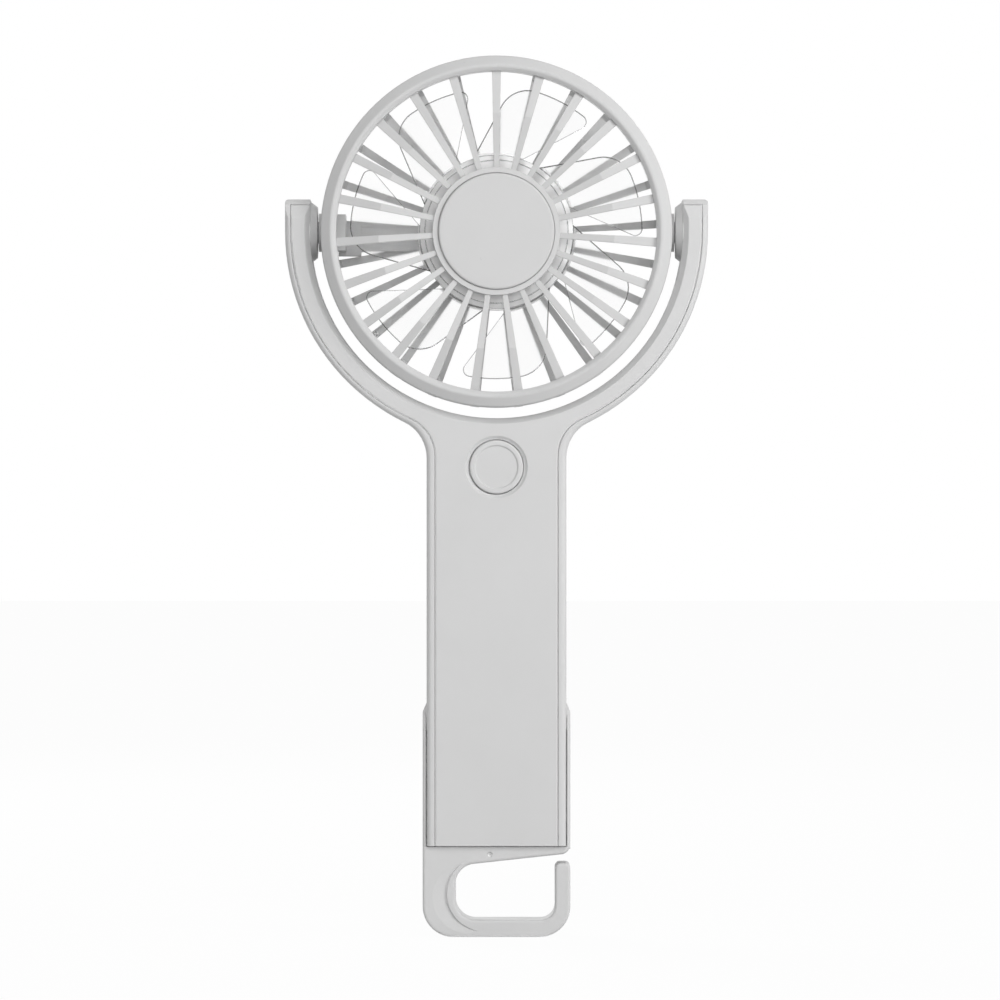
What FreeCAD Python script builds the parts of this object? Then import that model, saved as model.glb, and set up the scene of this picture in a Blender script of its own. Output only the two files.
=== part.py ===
import FreeCAD, Part
import math
import os
import Sketcher

# Handheld fan: a round head that tilts in a fork, a flat handle with one button, and a hook that swings out.
# Frame, in millimetres: origin in the middle of the plain grip, X to the right, Z up along the handle,
# and the front of the fan faces -Y. The head's own pieces are drawn about the head's centre and then lifted.

SIZES = (
    # Fork and handle
    ("head_height", 79.4, "head axis above the middle of the grip"),
    ("fork_depth", 16.0, "front to back of fork and handle"),
    ("fork_outer_radius", 48.1, "outside of the fork"),
    ("fork_inner_radius", 42.4, "inside of the fork"),
    ("arm_rise", 7.4, "arm tips above the head axis"),
    ("handle_half_width", 15.9, "half of the handle's width"),
    ("fork_fillet_radius", 9.1, "curve between fork and handle"),
    ("handle_bottom", -60.3, "lower end of the handle"),
    ("edge_round", 1.2, "rounding of the long outer edges"),
    ("tip_slope_drop", 4.2, "lower edge of the sloping facet, below the arm tips"),
    ("tip_slope_depth", 1.2, "depth of that facet at its upper edge"),
    ("tip_rim", 1.2, "height of the steeper rim above the facet"),
    ("tip_round", 0.8, "outer corner of the arm tips"),
    # Front cover
    ("cover_thickness", 2.2, "front cover plate"),
    ("cover_outer_radius", 46.8, "cover's edge on the fork"),
    ("cover_half_width", 14.0, "cover's edge on the handle"),
    ("cover_bevel", 1.3, "bevel along the inside of the fork"),
    ("seam", 0.06, "open groove round the cover"),
    ("cover_edge_round", 0.4, "rounding of the cover's outer edge"),
    # Inside of the handle
    ("floor_thickness", 1.8, "back wall"),
    ("cavity_outer_radius", 46.55, "wire duct in the arms, outside"),
    ("cavity_inner_radius", 43.8, "wire duct in the arms, inside"),
    ("cavity_half_width", 12.5, "room between the handle's side walls"),
    ("cavity_bottom", -57.6, "lower end of that room"),
    ("post_x", 9.5, "screw posts, from the middle plane"),
    ("post_top_z", 31.2, "upper screw posts"),
    ("post_bottom_z", -54.0, "lower screw posts"),
    ("post_radius", 2.3, "screw posts"),
    ("screw_radius", 1.0, "thread of the shell screws"),
    ("screw_length", 9.0, "shank of the shell screws"),
    ("screw_head_radius", 1.9, "head of the shell screws"),
    ("screw_sink", 2.6, "depth of the screws' counterbores"),
    ("clearance", 0.15, "radial clearance of screws in their holes"),
    ("rail_width", 1.2, "ribs that the circuit board lies on"),
    # Button
    ("button_z", 25.9, "button's centre"),
    ("button_radius", 6.1, "button cap"),
    ("button_gap", 0.2, "clearance round the cap"),
    ("button_hollow", 0.25, "depth of the finger dish in the cap"),
    ("stem_radius", 1.6, "stem behind the cap"),
    ("button_dish", 0.8, "sloping rim of the button's hole"),
    ("button_travel", 0.4, "how far the button goes in"),
    # Board and cell
    ("board_front", -0.5, "front face of the circuit board"),
    ("board_bottom", 5.5, "lower end of the circuit board"),
    ("board_top", 32.5, "upper end of the circuit board"),
    ("switch_height", 2.6, "push switch on the board"),
    ("plunger_radius", 1.75, "the switch's plunger"),
    ("board_thickness", 1.0, "circuit boards"),
    ("cell_depth", 8.5, "front to back of the cell"),
    ("cell_half_width", 12.0, "half width of the cell"),
    ("cell_top", -0.4, "upper end of the cell"),
    ("cell_height", 50.0, "length of the cell"),
    ("cell_back", 4.8, "back face of the cell"),
    ("port_z", 10.0, "charge port's centre"),
    ("port_y", -2.1, "charge port's centre"),
    ("socket_half_width", 4.47, "charge socket, half width"),
    ("socket_half_thickness", 1.6, "charge socket, half thickness"),
    ("socket_sheet", 0.3, "charge socket's sheet metal"),
    ("socket_back", 0.8, "charge socket's closed end"),
    ("socket_mouth", 15.0, "charge socket's open end"),
    ("socket_depth", 7.4, "charge socket's length"),
    # Hook frame and its hinge
    ("hinge_z", -31.5, "hinge axis of the hook frame"),
    ("rail_radius", 4.6, "half depth of the rails and round of their upper ends"),
    ("rail_inner", 14.55, "inner face of the rails"),
    ("cheek_inner", 16.05, "inner face of the thin outer cheeks"),
    ("frame_half_width", 16.8, "outside of the hook frame"),
    ("frame_half_depth", 7.0, "half of the hook frame's depth"),
    ("frame_ledge", -60.45, "top face of the web under the handle"),
    ("hook_bottom", -81.0, "lowest face of the hook"),
    ("hook_edge_round", 0.6, "rounding of the hook frame's edges"),
    ("hook_rim_radius", 8.7, "outside of the rim round the opening's left end"),
    ("hook_rim_x", -2.6, "middle of that rim"),
    ("hook_rim_z", -71.1, "middle of that rim"),
    ("hook_dish_offset", 3.9, "middle of the dish in the thick leg, from the rim's middle"),
    ("hook_dish_slope", 0.15, "slope of that dish towards the rim"),
    ("mark_radius", 0.55, "round mark on the web"),
    ("mark_depth", 0.4, "depth of that mark"),
    ("opening_left", -9.3, "left side of the hook's opening"),
    ("opening_right", 13.3, "inner side of the hook's tip"),
    ("hook_bar_height", 3.9, "thickness of the bottom bar"),
    ("hook_tip_top", -64.2, "free end of the hook"),
    ("web_right_z", -61.97, "web's lower edge at the right"),
    ("web_slope", 0.109, "slope of the web's lower edge"),
    ("rail_play", 0.2, "room round the rails"),
    ("lip_step", 0.12, "how far the lip in front of the rails is set in"),
    ("lip_drop", 2.4, "upper end of that lip, below the hinge axis"),
    ("hinge_pin_radius", 1.2, "hinge pins"),
    ("hinge_pin_length", 3.6, "hinge pins"),
    ("running_clearance", 0.05, "radial clearance of a pin that turns"),
    # Pivots of the head
    ("pivot_radius", 2.5, "tilt pin shank"),
    ("pin_bore_radius", 1.45, "wire bore of the tilt pins"),
    ("pin_inner_end", 38.0, "inner end of the tilt pins"),
    ("flange_face", 44.25, "inner face of the tilt pins' flange"),
    ("flange_radius", 3.4, "flange of the tilt pins"),
    ("flange_thickness", 0.9, "flange of the tilt pins"),
    ("washer_thickness", 0.4, "washers under those flanges"),
    ("fork_collar_radius", 5.8, "collar on the arm, at its face"),
    ("fork_collar_flare", 38.0, "slope of that collar, in degrees"),
    ("head_collar_radius", 4.4, "collar on the head"),
    ("fork_collar_face", 40.75, "face of the arm's collar"),
    ("head_collar_face", 40.5, "face of the head's collar"),
    # Head, front to back
    ("bezel_front", -12.4, "front of the bezel"),
    ("cap_face", -12.2, "front of the disc in the middle"),
    ("hub_face", -11.6, "front of the grille's hub ring"),
    ("cap_seat", -10.4, "face that the disc is glued to"),
    ("wall_front", -8.4, "front end of the head's wall"),
    ("plate_front", 10.2, "front of the motor plate"),
    ("rear_rim", 11.4, "back of the head's wall"),
    # Head, about its axis
    ("head_radius", 40.0, "outside of the head"),
    ("wall_inner_radius", 38.2, "inside of the head's wall"),
    ("bezel_crest_radius", 37.5, "highest circle of the front bezel"),
    ("bezel_inner_drop", 0.9, "bevel inside that circle, front to back"),
    ("bezel_outer_drop", 1.6, "cone outside that circle, front to back"),
    ("bezel_inner_radius", 36.4, "inside of the bezel"),
    ("rib_crest_radius", 26.8, "where the ribs bend"),
    ("grille_hub_radius", 14.5, "hub of the front grille"),
    ("hub_cap_radius", 13.2, "disc in the middle"),
    ("front_rib_count", 23, "ribs in front"),
    ("rear_rib_count", 25, "ribs at the back"),
    ("rib_outer_half", 1.0, "half width of a rib at the rim"),
    ("rib_inner_half", 0.62, "half width of a rib at the hub"),
    ("motor_plate_radius", 17.5, "plate that carries the motor"),
    ("rim_round", 4.0, "rounding of the head's rear edge"),
    ("skin", 2.0, "thickness of the ribs, front to back"),
    ("rear_window_front", -2.5, "front end of the rear windows in the wall"),
    ("pivot_boss_radius", 5.3, "flat boss that the wall keeps at each pivot"),
    ("pivot_boss_face", 39.5, "outer face of that boss"),
    ("wire_spoke_z", -1.4, "middle of the wide wire spoke"),
    ("wire_spoke_half", 2.7, "half width of the wide wire spoke"),
    ("wire_depth", 10.3, "the motor wires' path along that spoke"),
    ("wire_down", -36.2, "the motor wires' path behind the wall"),
    # Impeller and motor
    ("blade_count", 7, "blades"),
    ("blade_tip_radius", 33.4, "tips of the blades"),
    ("impeller_hub_radius", 17.5, "hub cup"),
    ("hub_front", -7.2, "front face of the hub cup"),
    ("hub_back", 5.6, "open end of the hub cup"),
    ("hub_wall", 1.5, "wall of the hub cup"),
    ("hub_bevel", 1.2, "bevel of the hub cup's front edge"),
    ("boss_radius", 3.2, "boss that holds the shaft"),
    ("boss_end", -3.8, "back end of that boss"),
    ("shaft_radius", 1.0, "motor shaft"),
    ("bearing_radius", 3.0, "outside of the sleeve bearing"),
    ("tube_radius", 4.0, "outside of the bearing tube"),
    ("tube_front", -3.5, "front end of the bearing tube"),
    ("stator_radius", 12.4, "stator poles"),
    ("stator_front", -0.8, "front of the stator core"),
    ("stator_back", 4.2, "back of the stator core"),
    ("motor_board_front", 6.2, "front of the motor's round board"),
    ("magnet_inner_radius", 12.9, "magnet ring, inside"),
    ("yoke_inner_radius", 15.0, "steel yoke, inside"),
    ("blade_thickness", 1.2, "blades, front to back"),
    ("duct_radius", 45.95, "wires' path in the left arm"),
    ("wire_radius", 0.4, "insulated wires"),
)

doc = FreeCAD.newDocument("handheld_fan")
sheet = doc.addObject("Spreadsheet::Sheet", "sizes")
for row, (alias, value, note) in enumerate(SIZES, start=1):
    sheet.set(f"A{row}", note)
    sheet.set(f"B{row}", str(value))
    sheet.setAlias(f"B{row}", alias)
doc.recompute()


def size(alias):
    return float(sheet.get(alias))


HEAD_Z = size("head_height")
FRONT = -size("fork_depth") / 2
BACK = size("fork_depth") / 2
COVER_BACK = FRONT + size("cover_thickness")
CAVITY_BACK = BACK - size("floor_thickness")
HINGE_Z = size("hinge_z")
FORWARD = FreeCAD.Vector(0, -1, 0)
BACKWARD = FreeCAD.Vector(0, 1, 0)
STEM_ROOT = COVER_BACK + 0.9
STEM_END = size("board_front") - size("switch_height") - size("button_travel") - 0.15
BOARD_BOTTOM = size("board_bottom")
BOARD_TOP = size("board_top")
CELL_TOP = size("cell_top")
CELL_BOTTOM = CELL_TOP - size("cell_height")
WALL_FRONT = size("wall_front")
BEZEL_FRONT = size("bezel_front")
CAP_SEAT = size("cap_seat")
HUB_FACE = size("hub_face")
REAR_RIM = size("rear_rim")
PLATE_FRONT = size("plate_front")
TUBE_FRONT = size("tube_front")


# Drawing helpers


class Outline:
    """A closed outline drawn in a sketch, one line or arc after the other."""

    def __init__(self, sketch, x, y):
        self.sketch = sketch
        self.start = FreeCAD.Vector(x, y, 0)
        self.here = self.start
        self.pieces = []

    def add(self, curve, first_end, last_end, there):
        index = self.sketch.addGeometry(curve, False)
        self.pieces.append((index, first_end, last_end))
        self.here = there

    def line_to(self, x, y):
        there = FreeCAD.Vector(x, y, 0)
        self.add(Part.LineSegment(self.here, there), 1, 2, there)
        return self

    def arc_to(self, x, y, centre, clockwise=False):
        there = FreeCAD.Vector(x, y, 0)
        middle = FreeCAD.Vector(centre[0], centre[1], 0)
        radius = (self.here - middle).Length
        circle = Part.Circle(middle, FreeCAD.Vector(0, 0, 1), radius)
        begin = math.atan2(self.here.y - middle.y, self.here.x - middle.x)
        end = math.atan2(there.y - middle.y, there.x - middle.x)
        if clockwise:
            self.add(Part.ArcOfCircle(circle, end, begin), 2, 1, there)
        else:
            self.add(Part.ArcOfCircle(circle, begin, end), 1, 2, there)
        return self

    def close(self):
        if (self.here - self.start).Length > 1e-6:
            self.line_to(self.start.x, self.start.y)
        ring = self.pieces[1:] + self.pieces[:1]
        for (index, _, last_end), (next_index, first_end, _) in zip(self.pieces, ring):
            joined = Sketcher.Constraint("Coincident", index, last_end, next_index, first_end)
            self.sketch.addConstraint(joined)
        return self


def corner(before, at, after, radius):
    """Start, end and centre of the arc that rounds the corner between three points, and its direction."""
    here = FreeCAD.Vector(at[0], at[1], 0)
    back = (FreeCAD.Vector(before[0], before[1], 0) - here).normalize()
    ahead = (FreeCAD.Vector(after[0], after[1], 0) - here).normalize()
    half_angle = back.getAngle(ahead) / 2
    reach = radius / math.tan(half_angle)
    middle = here + (back + ahead).normalize() * (radius / math.sin(half_angle))
    clockwise = back.cross(ahead).z > 0
    return here + back * reach, here + ahead * reach, middle, clockwise


def rounded_outline(sketch, corners):
    """Closed outline through corners given as (x, y) or (x, y, radius of the corner)."""
    count = len(corners)
    legs = []
    for index, at in enumerate(corners):
        if len(at) == 2:
            point = FreeCAD.Vector(at[0], at[1], 0)
            legs.append((point, point, None, False))
        else:
            legs.append(corner(corners[index - 1], at, corners[(index + 1) % count], at[2]))
    pen = Outline(sketch, legs[0][1].x, legs[0][1].y)
    for begin, end, middle, clockwise in legs[1:] + legs[:1]:
        if (pen.here - begin).Length > 1e-6:
            pen.line_to(begin.x, begin.y)
        if middle is not None:
            pen.arc_to(end.x, end.y, (middle.x, middle.y), clockwise)
    return pen.close()


def circle(sketch, x, y, radius_formula):
    """A circle whose radius follows the sheet."""
    middle = FreeCAD.Vector(x, y, 0)
    index = sketch.addGeometry(Part.Circle(middle, FreeCAD.Vector(0, 0, 1), 1.0), False)
    sketch.addConstraint(Sketcher.Constraint("DistanceX", -1, 1, index, 3, x))
    sketch.addConstraint(Sketcher.Constraint("DistanceY", -1, 1, index, 3, y))
    radius = sketch.addConstraint(Sketcher.Constraint("Radius", index, 1.0))
    sketch.setExpression(f"Constraints[{radius}]", radius_formula)


def rectangle(sketch, left, bottom, right, top):
    return rounded_outline(sketch, [(left, bottom), (right, bottom), (right, top), (left, top)])


def new_body(label, height="0"):
    body = doc.addObject("PartDesign::Body", label)
    body.Label = label
    body.setExpression("Placement.Base.z", height)
    return body


def origin_item(body, role):
    return next(item for item in body.Origin.OriginFeatures if item.Role == role)


def new_sketch(body, plane, lift="0"):
    """A sketch on the body's XY, XZ or YZ plane; a lift moves it along +Z, -Y or +X."""
    sketch = body.newObject("Sketcher::SketchObject", f"{body.Name}_sketch")
    sketch.AttachmentSupport = (origin_item(body, f"{plane}_Plane"), [""])
    sketch.MapMode = "FlatFace"
    sketch.setExpression("AttachmentOffset.Base.z", lift)
    return sketch


def solid_step(body, kind, sketch, length, backwards=False):
    """A pad or a pocket of the sketch; a pad grows along the sketch's normal and a pocket cuts against it."""
    step = body.newObject(f"PartDesign::{kind}", f"{body.Name}_{kind.lower()}")
    step.Profile = sketch
    step.setExpression("Length", length)
    step.Reversed = backwards
    return step


def pad(body, sketch, length, backwards=False):
    return solid_step(body, "Pad", sketch, length, backwards)


def pocket(body, sketch, length, backwards=False):
    return solid_step(body, "Pocket", sketch, length, backwards)


def turned(body, sketch, kind="Revolution"):
    """A full turn of the sketch about its own upright axis."""
    step = body.newObject(f"PartDesign::{kind}", f"{body.Name}_{kind.lower()}")
    step.Profile = sketch
    step.ReferenceAxis = (sketch, ["V_Axis"])
    step.Angle = 360
    return step


def both_sides(body, *steps):
    """The same steps again, mirrored to the other side of the middle plane."""
    mirror = body.newObject("PartDesign::Mirrored", f"{body.Name}_mirrored")
    mirror.Originals = list(steps)
    mirror.MirrorPlane = (origin_item(body, "YZ_Plane"), [""])
    body.Tip = mirror
    return mirror


def all_round(body, step, count_formula):
    """The same step again, spread evenly about the head's axis."""
    pattern = body.newObject("PartDesign::PolarPattern", f"{body.Name}_ring")
    pattern.Originals = [step]
    pattern.Axis = (origin_item(body, "Y_Axis"), [""])
    pattern.Angle = 360
    pattern.setExpression("Occurrences", count_formula)
    body.Tip = pattern
    return pattern


def edge_names(shape, wanted):
    """Names of the edges whose middle point, seen as (x, y, z), is wanted."""
    names = []
    for number, edge in enumerate(shape.Edges, start=1):
        middle = edge.valueAt((edge.FirstParameter + edge.LastParameter) / 2)
        if wanted(edge, middle):
            names.append(f"Edge{number}")
    return names


def dress(body, kind, wanted, size_formula):
    """Rounds (Fillet) or bevels (Chamfer) the wanted edges of the body as it stands."""
    doc.recompute()
    base = body.Tip
    step = body.newObject(f"PartDesign::{kind}", f"{body.Name}_{kind.lower()}")
    step.Base = (base, edge_names(base.Shape, wanted))
    step.setExpression("Radius" if kind == "Fillet" else "Size", size_formula)
    return step


def coded(label, shape, height="0"):
    """A sub-part whose shape is worked out here in code."""
    item = doc.addObject("Part::Feature", label)
    item.Label = label
    item.Shape = shape
    item.setExpression("Placement.Base.z", height)
    return item


def placed(item, at, direction):
    item.Placement = FreeCAD.Placement(at, FreeCAD.Rotation(FreeCAD.Vector(0, 0, 1), direction))
    return item


def cylinder(label, radius, height, at, direction):
    item = doc.addObject("Part::Cylinder", label)
    item.Label = label
    item.setExpression("Radius", radius)
    item.setExpression("Height", height)
    return placed(item, at, direction)


def box(label, width, depth, height, at):
    item = doc.addObject("Part::Box", label)
    item.Label = label
    item.Length = width
    item.Width = depth
    item.Height = height
    item.Placement.Base = at
    return item


def cut(label, base, tool):
    item = doc.addObject("Part::Cut", label)
    item.Label = label
    item.Base = base
    item.Tool = tool
    return item


def fuse(label, pieces):
    item = doc.addObject("Part::MultiFuse", label)
    item.Label = label
    item.Shapes = pieces
    return item


def group(label, pieces):
    """Separate solids that share one node."""
    item = doc.addObject("Part::Compound", label)
    item.Label = label
    item.Links = pieces
    return item


def ring(label, outer_radius, inner_radius, start_y, length):
    """A tube about the head's axis."""
    at = FreeCAD.Vector(0, start_y, HEAD_Z)
    outside = cylinder(f"{label}_outside", outer_radius, str(length), at, BACKWARD)
    inside = cylinder(f"{label}_inside", inner_radius, str(length), at, BACKWARD)
    return cut(label, outside, inside)


# Fork and handle


def fork_outline(sketch, outer_radius, inner_radius, top, half_width, fillet_radius, bottom):
    """Fork and handle in one outline: straight arm tips, round fork, and a curve into the handle."""
    reach = outer_radius + fillet_radius
    fillet_x = half_width + fillet_radius
    fillet_z = HEAD_Z - math.sqrt(reach**2 - fillet_x**2)
    touch_x = fillet_x * outer_radius / reach
    touch_z = HEAD_Z + (fillet_z - HEAD_Z) * outer_radius / reach
    head = (0, HEAD_Z)
    pen = Outline(sketch, -inner_radius, top)
    pen.line_to(-outer_radius, top)
    pen.line_to(-outer_radius, HEAD_Z)
    pen.arc_to(-touch_x, touch_z, head)
    pen.arc_to(-half_width, fillet_z, (-fillet_x, fillet_z), clockwise=True)
    pen.line_to(-half_width, bottom)
    pen.line_to(half_width, bottom)
    pen.line_to(half_width, fillet_z)
    pen.arc_to(touch_x, touch_z, (fillet_x, fillet_z), clockwise=True)
    pen.arc_to(outer_radius, HEAD_Z, head)
    pen.line_to(outer_radius, top)
    pen.line_to(inner_radius, top)
    pen.line_to(inner_radius, HEAD_Z)
    pen.arc_to(-inner_radius, HEAD_Z, head, clockwise=True)
    pen.close()


def slope_arm_tips(body):
    """Cuts a sloping facet and a steeper rim above it on the front of both arm tips."""
    top = HEAD_Z + size("arm_rise")
    depth = size("tip_slope_depth")
    drop = size("tip_slope_drop")
    rim = size("tip_rim")
    outside = FRONT - 1
    run_out = (drop - rim) / depth
    sketch = new_sketch(body, "YZ", "-sizes.fork_outer_radius")
    rounded_outline(sketch, [
        (outside, top - drop - run_out),
        (FRONT + depth, top - rim, 1.0),
        (FRONT + depth + 2 * rim, top + rim),
        (outside, top + rim),
    ])
    return pocket(body, sketch, "2 * sizes.fork_outer_radius", backwards=True)


def round_tip_corners(body):
    """Rounds the outer corner of both arm tips as seen from the front."""
    top = HEAD_Z + size("arm_rise")
    outer = size("fork_outer_radius")
    radius = size("tip_round")
    sketch = new_sketch(body, "XZ", "-sizes.fork_depth / 2 - 1")
    pen = Outline(sketch, outer, top - radius)
    pen.arc_to(outer - radius, top, (outer - radius, top - radius))
    pen.line_to(outer - radius, top + 1)
    pen.line_to(outer + 1, top + 1)
    pen.line_to(outer + 1, top - radius)
    pen.close()
    both_sides(body, pocket(body, sketch, "sizes.fork_depth + 2", backwards=True))


def post_places():
    for side in (-1, 1):
        for height in (size("post_top_z"), size("post_bottom_z")):
            yield side * size("post_x"), height


def make_body_shell():
    body = new_body("body_shell")
    outer = size("fork_outer_radius")
    inner = size("fork_inner_radius")
    half = size("handle_half_width")
    top = HEAD_Z + size("arm_rise")
    bottom = size("handle_bottom")

    outline = new_sketch(body, "XZ", "-sizes.fork_depth / 2")
    fork_outline(outline, outer, inner, top, half, size("fork_fillet_radius"), bottom)
    pad(body, outline, "sizes.fork_depth")

    def long_edge(edge, middle):
        on_face = abs(abs(middle.y) - BACK) < 1e-3
        beside_axis = math.hypot(middle.x, middle.z - HEAD_Z)
        inside_fork = beside_axis < inner + 1 and middle.z > 0
        inner_wall = abs(abs(middle.x) - inner) < 1e-3
        end = abs(middle.z - bottom) < 1e-3 or abs(middle.z - top) < 1e-3
        return on_face and not inside_fork and not inner_wall and not end

    dress(body, "Fillet", long_edge, "sizes.edge_round")

    gap = size("seam")
    collar = new_sketch(body, "YZ", "sizes.fork_collar_face")
    circle(collar, 0, HEAD_Z, "sizes.fork_collar_radius")
    flared = pad(body, collar, "sizes.fork_inner_radius - sizes.fork_collar_face")
    flared.setExpression("TaperAngle", "sizes.fork_collar_flare")
    both_sides(body, flared)

    recess = new_sketch(body, "XZ", "sizes.fork_depth / 2")
    fork_outline(
        recess, size("cover_outer_radius") + gap, inner, top - (outer - size("cover_outer_radius")) + gap,
        size("cover_half_width") + gap, size("fork_fillet_radius"), bottom - 1)
    pocket(body, recess, "sizes.cover_thickness")

    cavity = new_sketch(body, "XZ", "sizes.fork_depth / 2 - sizes.cover_thickness")
    fork_outline(
        cavity, size("cavity_outer_radius"), size("cavity_inner_radius"), top - 1.8,
        size("cavity_half_width"), size("fork_fillet_radius"), size("cavity_bottom"))
    pocket(body, cavity, "sizes.fork_depth - sizes.cover_thickness - sizes.floor_thickness")

    bore = new_sketch(body, "YZ", "-sizes.cavity_inner_radius - 1")
    circle(bore, 0, HEAD_Z, "sizes.pivot_radius + sizes.running_clearance")
    pocket(body, bore, "2 * sizes.cavity_inner_radius + 2", backwards=True)

    add_board_rails(body)
    add_screw_posts(body)
    cut_rail_recesses(body)
    cut_charge_slot(body)
    slope_arm_tips(body)
    round_tip_corners(body)
    return body


def add_board_rails(body):
    """Two ribs along the side walls that the circuit board lies on."""
    wall = size("cavity_half_width")
    shoulder = size("post_top_z") - size("post_radius")
    sketch = new_sketch(body, "XZ", "-sizes.fork_depth / 2 + sizes.floor_thickness")
    rectangle(sketch, wall - size("rail_width"), BOARD_BOTTOM, wall + 0.2, shoulder)
    height = "sizes.fork_depth / 2 - sizes.floor_thickness - sizes.board_front - sizes.board_thickness"
    both_sides(body, pad(body, sketch, height))


def add_screw_posts(body):
    """Four hollow posts on the back wall, with the screws' counterbores in the back face."""
    posts = new_sketch(body, "XZ", "-sizes.fork_depth / 2 + sizes.floor_thickness / 2")
    for x, z in post_places():
        circle(posts, x, z, "sizes.post_radius")
    pad(body, posts, "sizes.fork_depth / 2 - sizes.floor_thickness / 2")
    heads = new_sketch(body, "XZ", "-sizes.fork_depth / 2")
    for x, z in post_places():
        circle(heads, x, z, "sizes.screw_head_radius + sizes.clearance")
    pocket(body, heads, "sizes.screw_sink", backwards=True)
    shanks = new_sketch(body, "XZ", "-sizes.fork_depth / 2")
    for x, z in post_places():
        circle(shanks, x, z, "sizes.screw_radius + sizes.clearance")
    pocket(body, shanks, "sizes.fork_depth / 2 + 1", backwards=True)


def cut_rail_recesses(body):
    """The handle's lower sides step in behind a front lip, so that the hook frame's rails lie in them."""
    room = size("rail_radius") + size("rail_play")
    below = size("handle_bottom") - 2
    beyond = BACK + 1
    side = new_sketch(body, "YZ", "sizes.rail_inner - sizes.rail_play")
    pen = Outline(side, beyond, HINGE_Z + room)
    pen.line_to(0, HINGE_Z + room)
    pen.arc_to(-room, HINGE_Z, (0, HINGE_Z))
    pen.line_to(-room, below)
    pen.line_to(beyond, below)
    pen.close()
    recess = pocket(body, side, "sizes.frame_half_width - sizes.rail_inner + 1", backwards=True)
    lip = new_sketch(body, "XZ", "sizes.fork_depth / 2 + 1")
    lip_side = size("handle_half_width") - size("lip_step")
    rectangle(lip, lip_side, below, size("frame_half_width"), HINGE_Z - size("lip_drop"))
    narrowing = pocket(body, lip, "sizes.fork_depth / 2")
    pins = new_sketch(body, "YZ", "sizes.cavity_half_width - 1")
    circle(pins, 0, HINGE_Z, "sizes.hinge_pin_radius")
    holes = pocket(body, pins, "sizes.rail_inner - sizes.cavity_half_width + 1", backwards=True)
    both_sides(body, recess, narrowing, holes)
    round_off_lower_end(body)


def round_off_lower_end(body):
    """The back half of the handle's lower end is an arc about the hinge, so that the web swings past it."""
    reach = HINGE_Z - size("handle_bottom")
    turn = 0.4
    under = new_sketch(body, "YZ", "-sizes.handle_half_width - 1")
    pen = Outline(under, 0, HINGE_Z - reach)
    pen.arc_to(reach * math.sin(turn), HINGE_Z - reach * math.cos(turn), (0, HINGE_Z))
    pen.line_to(reach * math.sin(turn), HINGE_Z - reach - 2)
    pen.line_to(0, HINGE_Z - reach - 2)
    pen.close()
    pocket(body, under, "2 * sizes.handle_half_width + 2", backwards=True)


def socket_outline(sketch, half_thickness, half_width):
    """Flat outline with round ends about the charge port's axis."""
    straight = half_width - half_thickness
    y = size("port_y")
    z = size("port_z")
    pen = Outline(sketch, y + half_thickness, z - straight)
    pen.line_to(y + half_thickness, z + straight)
    pen.arc_to(y - half_thickness, z + straight, (y, z + straight))
    pen.line_to(y - half_thickness, z - straight)
    pen.arc_to(y + half_thickness, z - straight, (y, z - straight))
    pen.close()


def cut_charge_slot(body):
    """A slot with round ends in the right side wall, where the charge socket's mouth lies."""
    around = size("clearance") + 0.05
    sketch = new_sketch(body, "YZ", "sizes.cavity_half_width - 1")
    socket_outline(sketch, size("socket_half_thickness") + around, size("socket_half_width") + around)
    pocket(body, sketch, "sizes.handle_half_width - sizes.cavity_half_width + 2", backwards=True)


def make_front_cover():
    body = new_body("front_cover")
    outer = size("cover_outer_radius")
    inner = size("fork_inner_radius")
    top = HEAD_Z + size("arm_rise") - (size("fork_outer_radius") - outer)
    outline = new_sketch(body, "XZ", "sizes.fork_depth / 2 - sizes.cover_thickness")
    fork_outline(
        outline, outer, inner, top, size("cover_half_width"), size("fork_fillet_radius") + size("seam"),
        size("handle_bottom"))
    pad(body, outline, "sizes.cover_thickness")

    def fork_inside(edge, middle):
        beside_axis = math.hypot(middle.x, middle.z - HEAD_Z)
        round_part = abs(beside_axis - inner) < 1e-3
        straight_part = abs(abs(middle.x) - inner) < 1e-3
        return abs(middle.y - FRONT) < 1e-3 and (round_part or straight_part)

    def outer_edge(edge, middle):
        at_end = abs(middle.z - top) < 1e-3 or abs(middle.z - size("handle_bottom")) < 1e-3
        return abs(middle.y - FRONT) < 1e-3 and not fork_inside(edge, middle) and not at_end

    dress(body, "Fillet", outer_edge, "sizes.cover_edge_round")
    dress(body, "Chamfer", fork_inside, "sizes.cover_bevel")

    hole = new_sketch(body, "XZ", "sizes.fork_depth / 2")
    circle(hole, 0, size("button_z"), "sizes.button_radius + sizes.button_gap")
    pocket(body, hole, "sizes.cover_thickness")

    def button_rim(edge, middle):
        near = math.hypot(middle.x, middle.z - size("button_z")) < size("button_radius") + 1
        return near and abs(middle.y - FRONT) < 1e-3

    dress(body, "Chamfer", button_rim, "sizes.button_dish")

    posts = new_sketch(body, "XZ", "sizes.fork_depth / 2 - sizes.cover_thickness")
    for x, z in post_places():
        circle(posts, x, z, "sizes.post_radius - 0.1")
    pad(body, posts, "sizes.fork_depth / 2 - sizes.cover_thickness - 0.1", backwards=True)
    pilots = new_sketch(body, "XZ", "sizes.fork_depth / 2 - sizes.cover_thickness - 0.6")
    for x, z in post_places():
        circle(pilots, x, z, "sizes.screw_radius")
    pocket(body, pilots, "sizes.fork_depth / 2 - sizes.cover_thickness - 0.6", backwards=False)
    slope_arm_tips(body)
    return body


# Button, switch and board


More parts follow.
